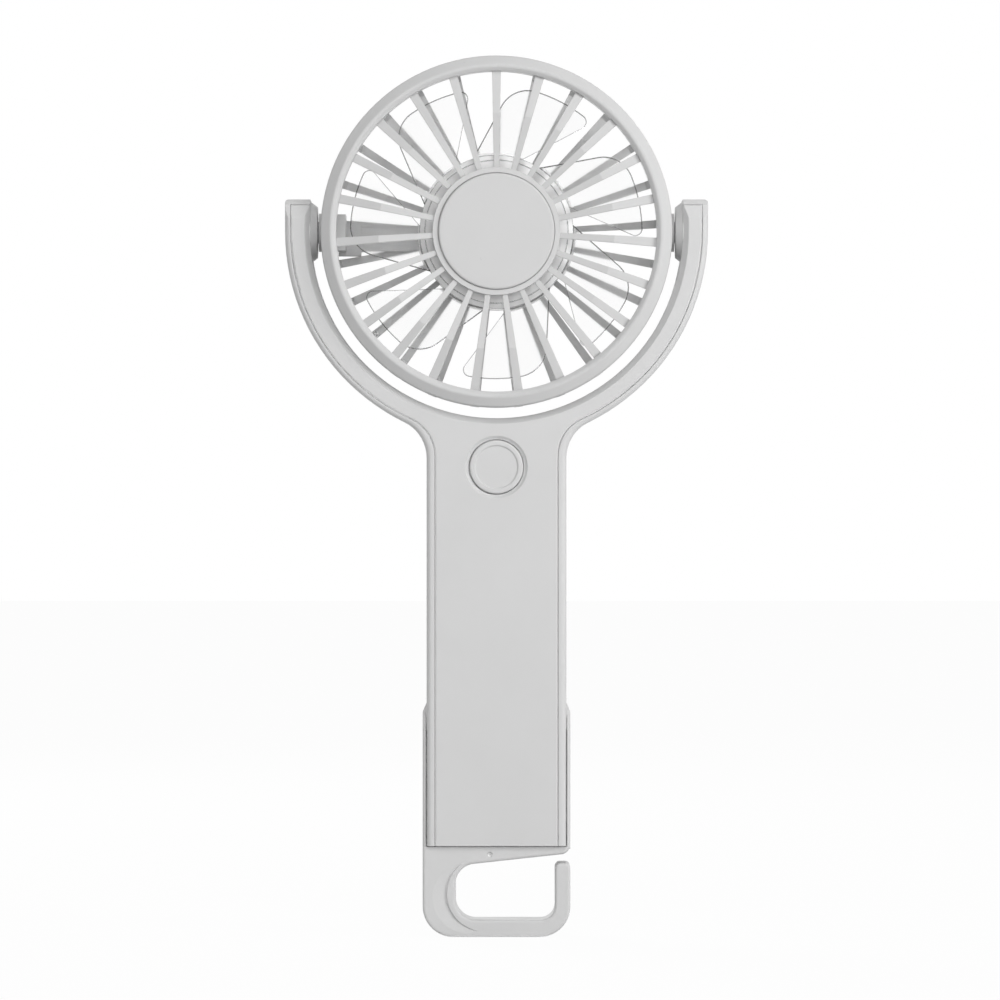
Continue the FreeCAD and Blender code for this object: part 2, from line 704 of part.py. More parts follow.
def make_power_button():
    """Cap with a shallow dish, a flange behind the cover and a stem that reaches the switch."""
    body = new_body("power_button", "sizes.button_z")
    cap = size("button_radius")
    dish = cap - 1.1
    flange = cap + 0.8
    flange_front = COVER_BACK + 0.1
    stem = size("stem_radius")
    hollow = size("button_hollow")
    sketch = new_sketch(body, "XY")
    rounded_outline(sketch, [
        (0, FRONT + hollow),
        (dish - hollow, FRONT + hollow),
        (dish, FRONT),
        (cap, FRONT, 0.4),
        (cap, flange_front),
        (flange, flange_front),
        (flange, STEM_ROOT),
        (stem, STEM_ROOT),
        (stem, STEM_END),
        (0, STEM_END),
    ])
    turned(body, sketch)
    return body


def make_tact_switch():
    """Square switch on the board: metal cover, hole for the plunger and four legs."""
    body = new_body("tact_switch", "sizes.button_z")
    half = 3.0
    leg_end = 5.1
    leg_height = 2.25
    leg_half = 0.35
    base = new_sketch(body, "XZ", "-sizes.board_front")
    rectangle(base, -half, -half, half, half)
    pad(body, base, "sizes.switch_height")
    legs = new_sketch(body, "XZ", "-sizes.board_front")
    for side in (-1, 1):
        for z in (-leg_height, leg_height):
            rectangle(legs, side * (half - 0.1), z - leg_half, side * leg_end, z + leg_half)
    pad(body, legs, "sizes.board_thickness / 2")
    hole = new_sketch(body, "XZ", "sizes.switch_height - sizes.board_front")
    circle(hole, 0, 0, "sizes.plunger_radius + 0.1")
    pocket(body, hole, "sizes.switch_height - 1")
    return body


def make_switch_plunger():
    """The switch's plunger, which goes in with the button's stem."""
    at = FreeCAD.Vector(0, STEM_END, size("button_z"))
    return cylinder("switch_plunger", "sizes.plunger_radius", "1.5", at, BACKWARD)


def make_circuit_board():
    """Board whose upper corners are cut away round the screw posts."""
    body = new_body("circuit_board")
    side = size("cavity_half_width") - 0.2
    around_post = size("post_radius") + 0.6
    neck = size("post_x") - around_post
    shoulder = size("post_top_z") - around_post
    sketch = new_sketch(body, "XZ", "-sizes.board_front - sizes.board_thickness")
    rounded_outline(sketch, [
        (-side, BOARD_BOTTOM, 0.8), (side, BOARD_BOTTOM, 0.8), (side, shoulder), (neck, shoulder),
        (neck, BOARD_TOP), (-neck, BOARD_TOP), (-neck, shoulder), (-side, shoulder),
    ])
    pad(body, sketch, "sizes.board_thickness")
    return body


def make_board_chips():
    """Control chip, charger chip, coil and two capacitors on the front of the board."""
    chips = []
    for name, x, z, width, height, depth in (
            ("control_chip", -6.5, 12.5, 5.0, 4.0, 1.5),
            ("charger_chip", -0.5, 16.0, 3.0, 3.0, 0.9),
            ("coil", 3.0, 10.5, 4.0, 4.0, 2.0),
            ("upper_capacitor", -1.2, 10.5, 1.6, 0.8, 0.8),
            ("lower_capacitor", -1.2, 8.5, 1.6, 0.8, 0.8)):
        at = FreeCAD.Vector(x - width / 2, size("board_front") - depth, z - height / 2)
        chips.append(box(name, width, depth, height, at))
    return group("board_chips", chips)


def make_charge_socket():
    body = new_body("charge_socket")
    outside = new_sketch(body, "YZ", "sizes.socket_mouth - sizes.socket_depth")
    socket_outline(outside, size("socket_half_thickness"), size("socket_half_width"))
    pad(body, outside, "sizes.socket_depth")
    inside = new_sketch(body, "YZ", "sizes.socket_mouth")
    metal = size("socket_sheet")
    socket_outline(inside, size("socket_half_thickness") - metal, size("socket_half_width") - metal)
    pocket(body, inside, "sizes.socket_depth - sizes.socket_back")
    return body


def make_charge_tongue():
    """The thin tongue in the middle of the socket that carries the contacts."""
    start = size("socket_mouth") - size("socket_depth") + size("socket_back")
    thickness = 0.7
    width = 6.7
    at = FreeCAD.Vector(start, size("port_y") - thickness / 2, size("port_z") - width / 2)
    return box("charge_tongue", 5.2, thickness, width, at)


# Cell


def make_battery_cell():
    """Flat pouch cell with rounded sides."""
    body = new_body("battery_cell")
    half = size("cell_half_width")
    sketch = new_sketch(body, "XZ", "-sizes.cell_back")
    rounded_outline(sketch, [(x, z, 1.2) for x, z in (
        (-half, CELL_BOTTOM), (half, CELL_BOTTOM), (half, CELL_TOP), (-half, CELL_TOP))])
    pad(body, sketch, "sizes.cell_depth")

    def long_side(edge, middle):
        return abs(middle.y) > 3 and abs(middle.x) > half - 0.1

    dress(body, "Fillet", long_side, "1")
    return body


def make_cell_board():
    """Small protection board on the cell's upper end."""
    return box("cell_board", 20, 1.0, 3.4, FreeCAD.Vector(-10, 0, CELL_TOP))


def make_battery_pad():
    """Foam pad that holds the cell against the back wall."""
    depth = CAVITY_BACK - size("cell_back")
    at = FreeCAD.Vector(-10, size("cell_back"), CELL_BOTTOM + 5)
    return box("battery_pad", 20, depth, 40, at)


# Wires


def tube_along(edges, start, direction):
    """Round wire along joined edges; prints how its volume compares with section times length."""
    radius = size("wire_radius")
    path = Part.Wire(edges)
    section = Part.Wire([Part.makeCircle(radius, start, direction)])
    tube = path.makePipeShell([section], True, False)
    print("wire volume ratio", round(tube.Volume / (math.pi * radius**2 * path.Length), 4))
    return tube


def bent_route(points, bend):
    """Straight runs through the points, joined by tangent arcs of one radius."""
    edges = []
    here = points[0]
    for before, at, after in zip(points, points[1:], points[2:]):
        back = FreeCAD.Vector(before - at).normalize()
        ahead = FreeCAD.Vector(after - at).normalize()
        half_angle = back.getAngle(ahead) / 2
        reach = bend / math.tan(half_angle)
        begin = at + back * reach
        end = at + ahead * reach
        inward = (back + ahead).normalize()
        middle = at + inward * (bend / math.sin(half_angle) - bend)
        edges.append(Part.makeLine(here, begin))
        edges.append(Part.Arc(begin, middle, end).toShape())
        here = end
    edges.append(Part.makeLine(here, points[-1]))
    return edges


def make_battery_lead():
    """Two short wires from the cell's board up to the circuit board."""
    wires = []
    for x in (-8.0, -6.2):
        points = [
            FreeCAD.Vector(x, 0, CELL_TOP + 1.7),
            FreeCAD.Vector(x, size("board_front") - 1.6, CELL_TOP + 1.7),
            FreeCAD.Vector(x, size("board_front") - 1.6, BOARD_BOTTOM + 2.6),
            FreeCAD.Vector(x, size("board_front"), BOARD_BOTTOM + 2.6),
        ]
        wires.append(tube_along(bent_route(points, 0.8), points[0], FORWARD))
    return coded("battery_lead", Part.makeCompound(wires))


def make_fork_lead():
    """Two wires that leave the board, follow the left arm's duct and turn into the hollow pivot."""
    duct = size("duct_radius")
    start_x = -5.0
    turn = 2.0
    bend = 1.3
    turn_x = start_x - turn
    turn_z = HEAD_Z - math.sqrt((duct + turn)**2 - turn_x**2)
    meet = duct / (duct + turn)
    join = FreeCAD.Vector(turn_x * meet, 0, HEAD_Z + (turn_z - HEAD_Z) * meet)
    bend_x = -math.sqrt((duct - bend)**2 - bend**2)
    leave = FreeCAD.Vector(bend_x, 0, -bend) * (duct / (duct - bend)) + FreeCAD.Vector(0, 0, HEAD_Z)
    head = FreeCAD.Vector(0, 0, HEAD_Z)
    halfway = (join + leave - head * 2).normalize() * duct + head
    turn_middle = FreeCAD.Vector(turn_x, 0, turn_z)
    turn_top = (FreeCAD.Vector(start_x, 0, turn_z) + join - turn_middle * 2).normalize() * turn + turn_middle
    bend_middle = FreeCAD.Vector(bend_x, 0, HEAD_Z - bend)
    bend_top = (leave + FreeCAD.Vector(bend_x, 0, HEAD_Z) - bend_middle * 2).normalize() * bend + bend_middle
    start = FreeCAD.Vector(start_x, 0, BOARD_TOP - 2.5)
    edges = [
        Part.makeLine(start, FreeCAD.Vector(start_x, 0, turn_z)),
        Part.Arc(FreeCAD.Vector(start_x, 0, turn_z), turn_top, join).toShape(),
        Part.Arc(join, halfway, leave).toShape(),
        Part.Arc(leave, bend_top, FreeCAD.Vector(bend_x, 0, HEAD_Z)).toShape(),
        Part.makeLine(FreeCAD.Vector(bend_x, 0, HEAD_Z), FreeCAD.Vector(-42.7, 0, HEAD_Z)),
    ]
    wire = tube_along(edges, start, FreeCAD.Vector(0, 0, 1))
    apart = size("board_thickness") / 2 + size("wire_radius")
    wires = [wire.translated(FreeCAD.Vector(0, side * apart, 0)) for side in (-1, 1)]
    return coded("fork_lead", Part.makeCompound(wires))


def make_motor_lead():
    """Two wires from the pivot, back inside the wall, along the wide spoke and to the motor's board."""
    board_back = size("motor_board_front") + size("board_thickness")
    down = size("wire_down")
    along = size("wire_depth")
    board_x = -10.6
    wires = []
    for side in (-0.5, 0.5):
        points = [
            FreeCAD.Vector(-42.5, side, 0),
            FreeCAD.Vector(down - side, side, 0),
            FreeCAD.Vector(down - side, along + side, 0),
            FreeCAD.Vector(board_x + side, along + side, 0),
            FreeCAD.Vector(board_x + side, board_back, 0),
        ]
        wires.append(tube_along(bent_route(points, 1.0), points[0], FreeCAD.Vector(1, 0, 0)))
    return coded("motor_lead", Part.makeCompound(wires), "sizes.head_height")


# Hook frame and its hinge


def make_hook_frame():
    """Web, thick left leg, open carabiner hook, and two rails that reach up beside the handle."""
    body = new_body("hook_frame_blank")
    half = size("frame_half_width")
    cheek = size("cheek_inner")
    ledge = size("frame_ledge")
    shoulder = ledge + 2.5
    bottom = size("hook_bottom")
    opening_left = size("opening_left")
    opening_right = size("opening_right")
    opening_floor = bottom + size("hook_bar_height")
    tip_top = size("hook_tip_top")
    web_right = size("web_right_z")
    web_left = web_right - size("web_slope") * (half - opening_left)

    plate = new_sketch(body, "XZ", "-sizes.frame_half_depth")
    rounded_outline(plate, [
        (-half, shoulder),
        (-half, bottom, 7.0),
        (half, bottom, 7.0),
        (half, tip_top, 1.2),
        (opening_right, tip_top, 1.2),
        (opening_right, opening_floor, 3.3),
        (opening_left, opening_floor, 4.6),
        (opening_left, web_left, 4.6),
        (half, web_right, 2.2),
        (half, shoulder),
        (cheek, shoulder),
        (cheek, ledge),
        (-cheek, ledge),
        (-cheek, shoulder),
    ])
    pad(body, plate, "2 * sizes.frame_half_depth")
    add_rails(body)
    slope_rail_tips(body)
    round_frame_edges(body)

    mark = new_sketch(body, "XZ", "sizes.frame_half_depth")
    circle(mark, -1.5, -62.2, "sizes.mark_radius")
    pocket(body, mark, "sizes.mark_depth")
    return sink_leg_dishes(body)


def add_rails(body):
    """Thick rails behind the handle's lip, thin outer cheeks that show beside it, and the pin holes."""
    radius = size("rail_radius")
    depth = size("frame_half_depth")
    foot = size("frame_ledge") - 0.5
    rail = new_sketch(body, "YZ", "sizes.rail_inner")
    pen = Outline(rail, -radius, foot)
    pen.line_to(-radius, HINGE_Z)
    pen.arc_to(radius, HINGE_Z, (0, HINGE_Z), clockwise=True)
    pen.line_to(radius, foot)
    pen.close()
    rails = pad(body, rail, "sizes.frame_half_width - sizes.rail_inner")
    cheek = new_sketch(body, "YZ", "sizes.cheek_inner")
    lean = math.radians(160)
    pen = Outline(cheek, -depth, foot)
    pen.line_to(-depth, HINGE_Z - size("lip_drop"))
    pen.line_to(radius * math.cos(lean), HINGE_Z + radius * math.sin(lean))
    pen.arc_to(radius, HINGE_Z, (0, HINGE_Z), clockwise=True)
    pen.line_to(radius, foot)
    pen.close()
    cheeks = pad(body, cheek, "sizes.frame_half_width - sizes.cheek_inner")
    hole = new_sketch(body, "YZ", "sizes.rail_inner - 0.5")
    circle(hole, 0, HINGE_Z, "sizes.hinge_pin_radius + sizes.running_clearance")
    holes = pocket(body, hole, "sizes.cheek_inner - sizes.rail_inner + 0.7", backwards=True)
    both_sides(body, rails, cheeks, holes)


def slope_rail_tips(body):
    """Slopes the rails' outer upper ends."""
    half = size("frame_half_width") + 0.2
    inner = size("handle_half_width") - 0.3
    top = HINGE_Z + size("rail_radius")
    sketch = new_sketch(body, "XZ", "-sizes.frame_half_depth - 1")
    for side in (-1, 1):
        rounded_outline(sketch, [
            (side * inner, top - 0.1),
            (side * half, top + 0.1),
            (side * half, top - 3.4),
        ])
    pocket(body, sketch, "2 * sizes.frame_half_depth + 2", backwards=True)


def round_frame_edges(body):
    """Rounds the front and back edges of the leg, the hook and the web's free side."""
    half = size("frame_half_width")
    depth = size("frame_half_depth")
    ledge = size("frame_ledge")

    def face_edge(edge, middle):
        on_face = abs(abs(middle.y) - depth) < 1e-3
        outside = abs(abs(middle.x) - half) < 1e-3
        return on_face and (outside or middle.z < ledge - 0.1)

    dress(body, "Fillet", face_edge, "sizes.hook_edge_round")


def sink_leg_dishes(frame):
    """A shallow dish on both faces of the thick leg, which leaves a rim round the opening's left end."""
    rim_radius = size("hook_rim_radius")
    offset = size("hook_dish_offset")
    slope = size("hook_dish_slope")
    face = size("frame_half_depth")
    lean = math.radians(193)
    half_spread = math.radians(69)
    square = rim_radius**2 + offset**2 - 2 * rim_radius * offset * math.cos(half_spread)
    radius = math.sqrt(square)
    above = 0.2
    rim_middle = FreeCAD.Vector(size("hook_rim_x"), 0, size("hook_rim_z"))
    dish_middle = rim_middle + FreeCAD.Vector(offset * math.cos(lean), 0, offset * math.sin(lean))
    cones = []
    for direction in (FORWARD, BACKWARD):
        item = doc.addObject("Part::Cone", "dish_cone")
        item.Radius1 = radius + above / slope
        item.Radius2 = 0
        item.Height = radius * slope + above
        cones.append(placed(item, dish_middle + direction * (face + above), direction * -1))
    start = rim_middle + FORWARD * (face + 1)
    rim = cylinder("hook_rim", "sizes.hook_rim_radius", "2 * sizes.frame_half_depth + 2", start, BACKWARD)
    return cut("hook_frame", frame, cut("leg_dishes", fuse("dish_cones", cones), rim))


def make_hook_pins():
    """Two short steel pins, pressed into the handle, that the rails turn on."""
    start = size("cavity_half_width")
    pins = []
    for side in (-1, 1):
        at = FreeCAD.Vector(side * start, 0, HINGE_Z)
        direction = FreeCAD.Vector(side, 0, 0)
        pins.append(cylinder("hook_pin", "sizes.hinge_pin_radius", "sizes.hinge_pin_length", at, direction))
    return group("hook_pins", pins)


def make_shell_screws():
    """Pan head screws from the back; each ends inside the cover's post."""
    screws = []
    for x, z in post_places():
        seat = FreeCAD.Vector(x, BACK - size("screw_sink"), z)
        shank = cylinder("screw_shank", "sizes.screw_radius", "sizes.screw_length", seat, FORWARD)
        head = cylinder("screw_head", "sizes.screw_head_radius", "1.6", seat, BACKWARD)
        screws.append(fuse("shell_screw", [shank, head]))
    return group("shell_screws", screws)


# Pivots of the head


def make_tilt_pins():
    """Hollow pins with a flange in the arm; their inner ends are pressed into the head's wall."""
    length = "sizes.flange_face - sizes.pin_inner_end"
    bore_length = "sizes.flange_face + sizes.flange_thickness - sizes.pin_inner_end + 1"
    pins = []
    for side in (-1, 1):
        direction = FreeCAD.Vector(side, 0, 0)
        inner = FreeCAD.Vector(side * size("pin_inner_end"), 0, HEAD_Z)
        flange_start = FreeCAD.Vector(side * size("flange_face"), 0, HEAD_Z)
        shank = cylinder("pin_shank", "sizes.pivot_radius", length, inner, direction)
        thick = "sizes.flange_thickness"
        flange = cylinder("pin_flange", "sizes.flange_radius", thick, flange_start, direction)
        whole = fuse("pin_blank", [shank, flange])
        bore = cylinder("pin_bore", "sizes.pin_bore_radius", bore_length, inner, direction)
        pins.append(cut("tilt_pin", whole, bore))
    return group("tilt_pins", pins)


def make_tilt_washers():
    washers = []
    for side in (-1, 1):
        at = FreeCAD.Vector(side * size("cavity_inner_radius"), 0, HEAD_Z)
        direction = FreeCAD.Vector(side, 0, 0)
        disc = cylinder("washer_disc", "sizes.flange_radius", "sizes.washer_thickness", at, direction)
        hole = cylinder("washer_hole", "sizes.pivot_radius + 0.1", "sizes.washer_thickness", at, direction)
        washers.append(cut("tilt_washer", disc, hole))
    return group("tilt_washers", washers)


# Head


def rib_window(sketch, outer_radius, inner_radius, count):
    """One opening between the upright rib and the next; the ribs taper towards the hub."""
    pitch = 2 * math.pi / count
    upright = math.pi / 2
    outer_turn = math.asin(size("rib_outer_half") / outer_radius)
    inner_turn = math.asin(size("rib_inner_half") / inner_radius)

    def place(radius, angle):
        return radius * math.cos(angle), radius * math.sin(angle)

    pen = Outline(sketch, *place(inner_radius, upright + inner_turn))
    pen.line_to(*place(outer_radius, upright + outer_turn))
    pen.arc_to(*place(outer_radius, upright + pitch - outer_turn), (0, 0))
    pen.line_to(*place(inner_radius, upright + pitch - inner_turn))
    pen.arc_to(*place(inner_radius, upright + inner_turn), (0, 0), clockwise=True)


def make_front_grille():
    """Bezel with a sloping face on both sides of its crest, bent ribs and the hub ring, in one moulding."""
    body = new_body("front_grille", "sizes.head_height")
    crest = size("bezel_crest_radius")
    inside = size("bezel_inner_radius")
    plug = size("wall_inner_radius") - 0.1
    outside = size("head_radius") - 0.1
    bend = size("rib_crest_radius")
    hub = size("grille_hub_radius")
    cap = size("hub_cap_radius") + 0.1
    skin = size("skin")
    plug_end = WALL_FRONT + 2.9
    rib_at_bezel = BEZEL_FRONT + 1.6
    rib_at_bend = BEZEL_FRONT - 0.6
    rib_at_hub = BEZEL_FRONT + 1.2
    profile = new_sketch(body, "XY")
    rounded_outline(profile, [
        (plug, plug_end),
        (plug, WALL_FRONT),
        (outside, WALL_FRONT),
        (outside, BEZEL_FRONT + size("bezel_outer_drop"), 0.6),
        (crest, BEZEL_FRONT, 0.8),
        (inside, BEZEL_FRONT + size("bezel_inner_drop")),
        (inside, rib_at_bezel),
        (bend, rib_at_bend),
        (hub, rib_at_hub),
        (hub, HUB_FACE),
        (cap, HUB_FACE),
        (cap, CAP_SEAT),
        (0, CAP_SEAT),
        (0, CAP_SEAT + skin / 2),
        (cap, CAP_SEAT + skin / 2),
        (cap, CAP_SEAT + skin),
        (hub, CAP_SEAT + skin),
        (hub, rib_at_hub + skin),
        (bend, rib_at_bend + skin),
        (inside, rib_at_bezel + skin),
        (inside, plug_end),
    ])
    turned(body, profile)
    window = new_sketch(body, "XZ", "-2 * sizes.bezel_front")
    rib_window(window, inside, hub, size("front_rib_count"))
    all_round(body, pocket(body, window, "-2 * sizes.bezel_front"), "sizes.front_rib_count")
    return body


def make_hub_cap():
    """Plain disc glued into the hub ring."""
    body = new_body("hub_cap", "sizes.head_height")
    cap = size("hub_cap_radius")
    face = size("cap_face")
    sketch = new_sketch(body, "XY")
    rounded_outline(sketch, [(0, CAP_SEAT), (0, face), (cap, face, 0.5), (cap, CAP_SEAT)])
    turned(body, sketch)
    return body


def make_rear_grille():
    """The head's wall, ribs that bend round its rear edge, motor plate, pivot bosses and wide wire spoke."""
    body = new_body("rear_grille", "sizes.head_height")
    outside = size("head_radius")
    inside = size("wall_inner_radius")
    bend = size("rib_crest_radius")
    plate = size("motor_plate_radius")
    rim = size("rim_round")
    skin = size("skin")
    profile = new_sketch(body, "XY")
    pen = Outline(profile, outside - 0.3, WALL_FRONT)
    pen.line_to(outside, WALL_FRONT + 0.3)
    pen.line_to(outside, REAR_RIM - rim)
    pen.arc_to(outside - rim, REAR_RIM, (outside - rim, REAR_RIM - rim))
    pen.line_to(bend, REAR_RIM + 1.0)
    pen.line_to(plate, REAR_RIM + 0.2)
    pen.line_to(0, REAR_RIM + 0.2)
    pen.line_to(0, PLATE_FRONT)
    pen.line_to(plate, PLATE_FRONT)
    pen.line_to(plate, REAR_RIM + 0.2 - skin)
    pen.line_to(bend, REAR_RIM + 1.0 - skin)
    pen.line_to(outside - rim, REAR_RIM - skin)
    pen.line_to(inside, REAR_RIM - rim)
    pen.line_to(inside, WALL_FRONT)
    pen.close()
    turned(body, profile)
    window = new_sketch(body, "XZ", "-sizes.rear_rim - 2")
    rib_window(window, outside + 1, plate, size("rear_rib_count"))
    depth = "sizes.rear_rim + 2 - sizes.rear_window_front"
    all_round(body, pocket(body, window, depth, backwards=True), "sizes.rear_rib_count")
    add_pivot_bosses(body)
    add_wire_spoke(body)
    add_bearing_tube(body)
    hole = new_sketch(body, "YZ", "sizes.pin_inner_end")
    circle(hole, 0, 0, "sizes.pivot_radius")
    reach = "sizes.head_collar_face - sizes.pin_inner_end + 1"
    both_sides(body, pocket(body, hole, reach, backwards=True))
    return body


def add_pivot_bosses(body):
    """Flat bosses that close the windows at the pivots, each with a collar that faces the fork's arm."""
    boss = new_sketch(body, "YZ", "sizes.wall_inner_radius - 0.3")
    circle(boss, 0, 0, "sizes.pivot_boss_radius")
    both_sides(body, pad(body, boss, "sizes.pivot_boss_face - sizes.wall_inner_radius + 0.3"))
    collar = new_sketch(body, "YZ", "sizes.wall_inner_radius + 0.4")
    circle(collar, 0, 0, "sizes.head_collar_radius")
    both_sides(body, pad(body, collar, "sizes.head_collar_face - sizes.wall_inner_radius - 0.4"))


def add_wire_spoke(body):
    """Wide spoke on the left with a groove for the wires, and a block whose duct joins it to the pivot."""
    middle = size("wire_spoke_z")
    half = size("wire_spoke_half")
    down = size("wire_down")
    along = size("wire_depth")
    wall = -size("wall_inner_radius")
    plate = -size("motor_plate_radius")
    spoke = new_sketch(body, "XZ", "-sizes.rear_rim")
    rectangle(spoke, down, middle - half, plate + 1, middle + half)
    pad(body, spoke, "sizes.skin + 1")
    boss = new_sketch(body, "XZ", "-sizes.rear_rim")
    rectangle(boss, down, middle - half - 1, down + 5.2, middle + half + 1)
    pad(body, boss, "sizes.skin + 2.2")
    block = new_sketch(body, "XZ", "-sizes.rear_rim + sizes.skin")
    rectangle(block, wall - 0.2, middle - half, down + 1.8, -middle + half)
    pad(body, block, "sizes.rear_rim - sizes.skin + 3.2")
    duct = new_sketch(body, "XZ", "-sizes.wire_depth - 0.8")
    rectangle(duct, down - 1, -1, down + 1, 1)
    pocket(body, duct, "sizes.wire_depth + 2.4", backwards=True)
    passage = new_sketch(body, "YZ", "-sizes.wall_inner_radius - 0.5")
    circle(passage, 0, 0, "sizes.pin_bore_radius")
    pocket(body, passage, "sizes.wall_inner_radius + 0.5 + sizes.wire_down", backwards=True)
    groove = new_sketch(body, "XZ", "-sizes.rear_rim - 2")
    rectangle(groove, down - 0.4, -0.8, -9.2, 0.8)
    pocket(body, groove, "sizes.rear_rim + 3 - sizes.wire_depth", backwards=True)


def add_bearing_tube(body):
    """Tube in the middle of the motor plate that holds the bearing and carries the stator."""
    tube = new_sketch(body, "XZ", "-sizes.plate_front - 0.2")
    circle(tube, 0, 0, "sizes.tube_radius")
    pad(body, tube, "sizes.plate_front + 0.2 - sizes.tube_front")
    hollow = new_sketch(body, "XZ", "-sizes.tube_front + 1")
    circle(hollow, 0, 0, "sizes.bearing_radius")
    pocket(body, hollow, "sizes.plate_front - sizes.tube_front + 1")


# Impeller


def make_impeller():
    """Hub cup with seven twisted, swept blades."""
    whole = hub_cup().fuse([blade(index) for index in range(int(size("blade_count")))])
    return coded("impeller", whole.removeSplitter(), "sizes.head_height")


def hub_cup():
    outside = size("impeller_hub_radius")
    wall = size("hub_wall")
    front = size("hub_front")
    back = size("hub_back")
    bevel = size("hub_bevel")
    shaft = size("shaft_radius")
    boss = size("boss_radius")
    boss_end = size("boss_end")
    corners = [
        (shaft, front), (outside - bevel, front), (outside, front + bevel),
        (outside, back), (outside - wall, back), (outside - wall, front + wall),
        (boss, front + wall), (boss, boss_end), (shaft, boss_end),
    ]
    points = [FreeCAD.Vector(radius, y, 0) for radius, y in corners]
    face = Part.Face(Part.makePolygon(points + points[:1]))
    return face.revolve(FreeCAD.Vector(0, 0, 0), BACKWARD, 360)


def blade(index):
    """A thin twisted sheet, cut to the blade's outline as seen from the front."""
    root = size("impeller_hub_radius") - 0.9
    tip = size("blade_tip_radius")
    piece = twisted_sheet(root - 1.5, tip + 2).common(blade_prism(root, tip))
    piece.rotate(FreeCAD.Vector(0, 0, 0), FORWARD, 360 * index / size("blade_count"))
    return piece


def blade_edge_angles(radius):
    """Angles, counterclockwise from +X as seen from the front, of the blade's two edges at a radius."""
    root = size("impeller_hub_radius")
    share = (radius - root) / (size("blade_tip_radius") - root)
    leading = math.radians(73.5 - 24.5 * share)
    trailing = math.radians(110.0 - 26.0 * share)
    return leading, trailing


def twisted_sheet(inner, outer):
    """Sheet of even thickness whose pitch falls from root to tip; its leading edge lies at the back."""
    middle_y = -1.4
    root_pitch = 43
    tip_pitch = 23
    camber = 1.0
    rows = []
    for step in range(6):
        share = step / 5
        radius = inner + (outer - inner) * share
        leading, trailing = blade_edge_angles(radius)
        middle = (leading + trailing) / 2
        spread = (trailing - leading) * 1.3
        pitch = math.radians(root_pitch + (tip_pitch - root_pitch) * share)
        row = []
        for stop in range(7):
            across = stop / 6 - 0.5
            angle = middle + across * spread
            lift = -across * spread * radius * math.tan(pitch)
            y = middle_y + lift + camber * (1 - (2 * across)**2)
            row.append(FreeCAD.Vector(radius * math.cos(angle), y, radius * math.sin(angle)))
        rows.append(row)
    surface = Part.BSplineSurface()
    surface.interpolate(rows)
    return surface.toShape().extrude(BACKWARD * size("blade_thickness"))


def blade_prism(root, tip):
    """Upright prism over the blade's outline, with a small and a large round at the tip's corners."""
    reach = 12

    def place(radius, angle, y=-reach):
        return FreeCAD.Vector(radius * math.cos(angle), y, radius * math.sin(angle))

    root_lead, root_trail = blade_edge_angles(root)
    tip_lead, tip_trail = blade_edge_angles(tip)
    root_middle = place(root, (root_lead + root_trail) / 2)
    tip_middle = place(tip, (tip_lead + tip_trail) / 2)
    edges = [
        Part.makeLine(place(root, root_lead), place(tip, tip_lead)),
        Part.Arc(place(tip, tip_lead), tip_middle, place(tip, tip_trail)).toShape(),
        Part.makeLine(place(tip, tip_trail), place(root, root_trail)),
        Part.Arc(place(root, root_trail), root_middle, place(root, root_lead)).toShape(),
    ]
    prism = Part.Face(Part.Wire(edges)).extrude(BACKWARD * 2 * reach)
    for angle, radius in ((tip_lead, 1.6), (tip_trail, 7.0)):
        at = place(tip, angle, 0)
        corner_edges = [edge for edge in prism.Edges if (edge.CenterOfMass - at).Length < 1e-3]
        prism = prism.makeFillet(radius, corner_edges)
    return prism


# Motor


def make_motor_parts():
    """Brushless motor: bush and wound stator on the rear grille, shaft and magnets in the impeller."""
    bush_front = TUBE_FRONT + 0.2
    bearing = ring("sleeve_bearing", "sizes.bearing_radius", "sizes.shaft_radius + 0.03", bush_front, 11.5)
    board_front = size("motor_board_front")
    thickness = size("board_thickness")
    board = ring("motor_board", "sizes.stator_radius", "sizes.tube_radius", board_front, thickness)
    inside_hub = "sizes.impeller_hub_radius - sizes.hub_wall"
    yoke_front = size("hub_front") + size("hub_wall")
    yoke = ring("magnet_yoke", inside_hub, "sizes.yoke_inner_radius", yoke_front, 10.9)
    magnet_front = size("stator_front") - 1.2
    magnet = ring("magnet_ring", "sizes.yoke_inner_radius", "sizes.magnet_inner_radius", magnet_front, 7.0)
    clip_front = bush_front + 11.5 + 0.3
    clip = ring("shaft_clip", "2.2", "sizes.shaft_radius", clip_front, 0.4)
    at = FreeCAD.Vector(0, size("hub_front") + 0.6, HEAD_Z)
    shaft = cylinder("rotor_shaft", "sizes.shaft_radius", "15.8", at, BACKWARD)
    return [bearing, board, yoke, magnet, clip, shaft, make_stator_core(), make_stator_windings()]


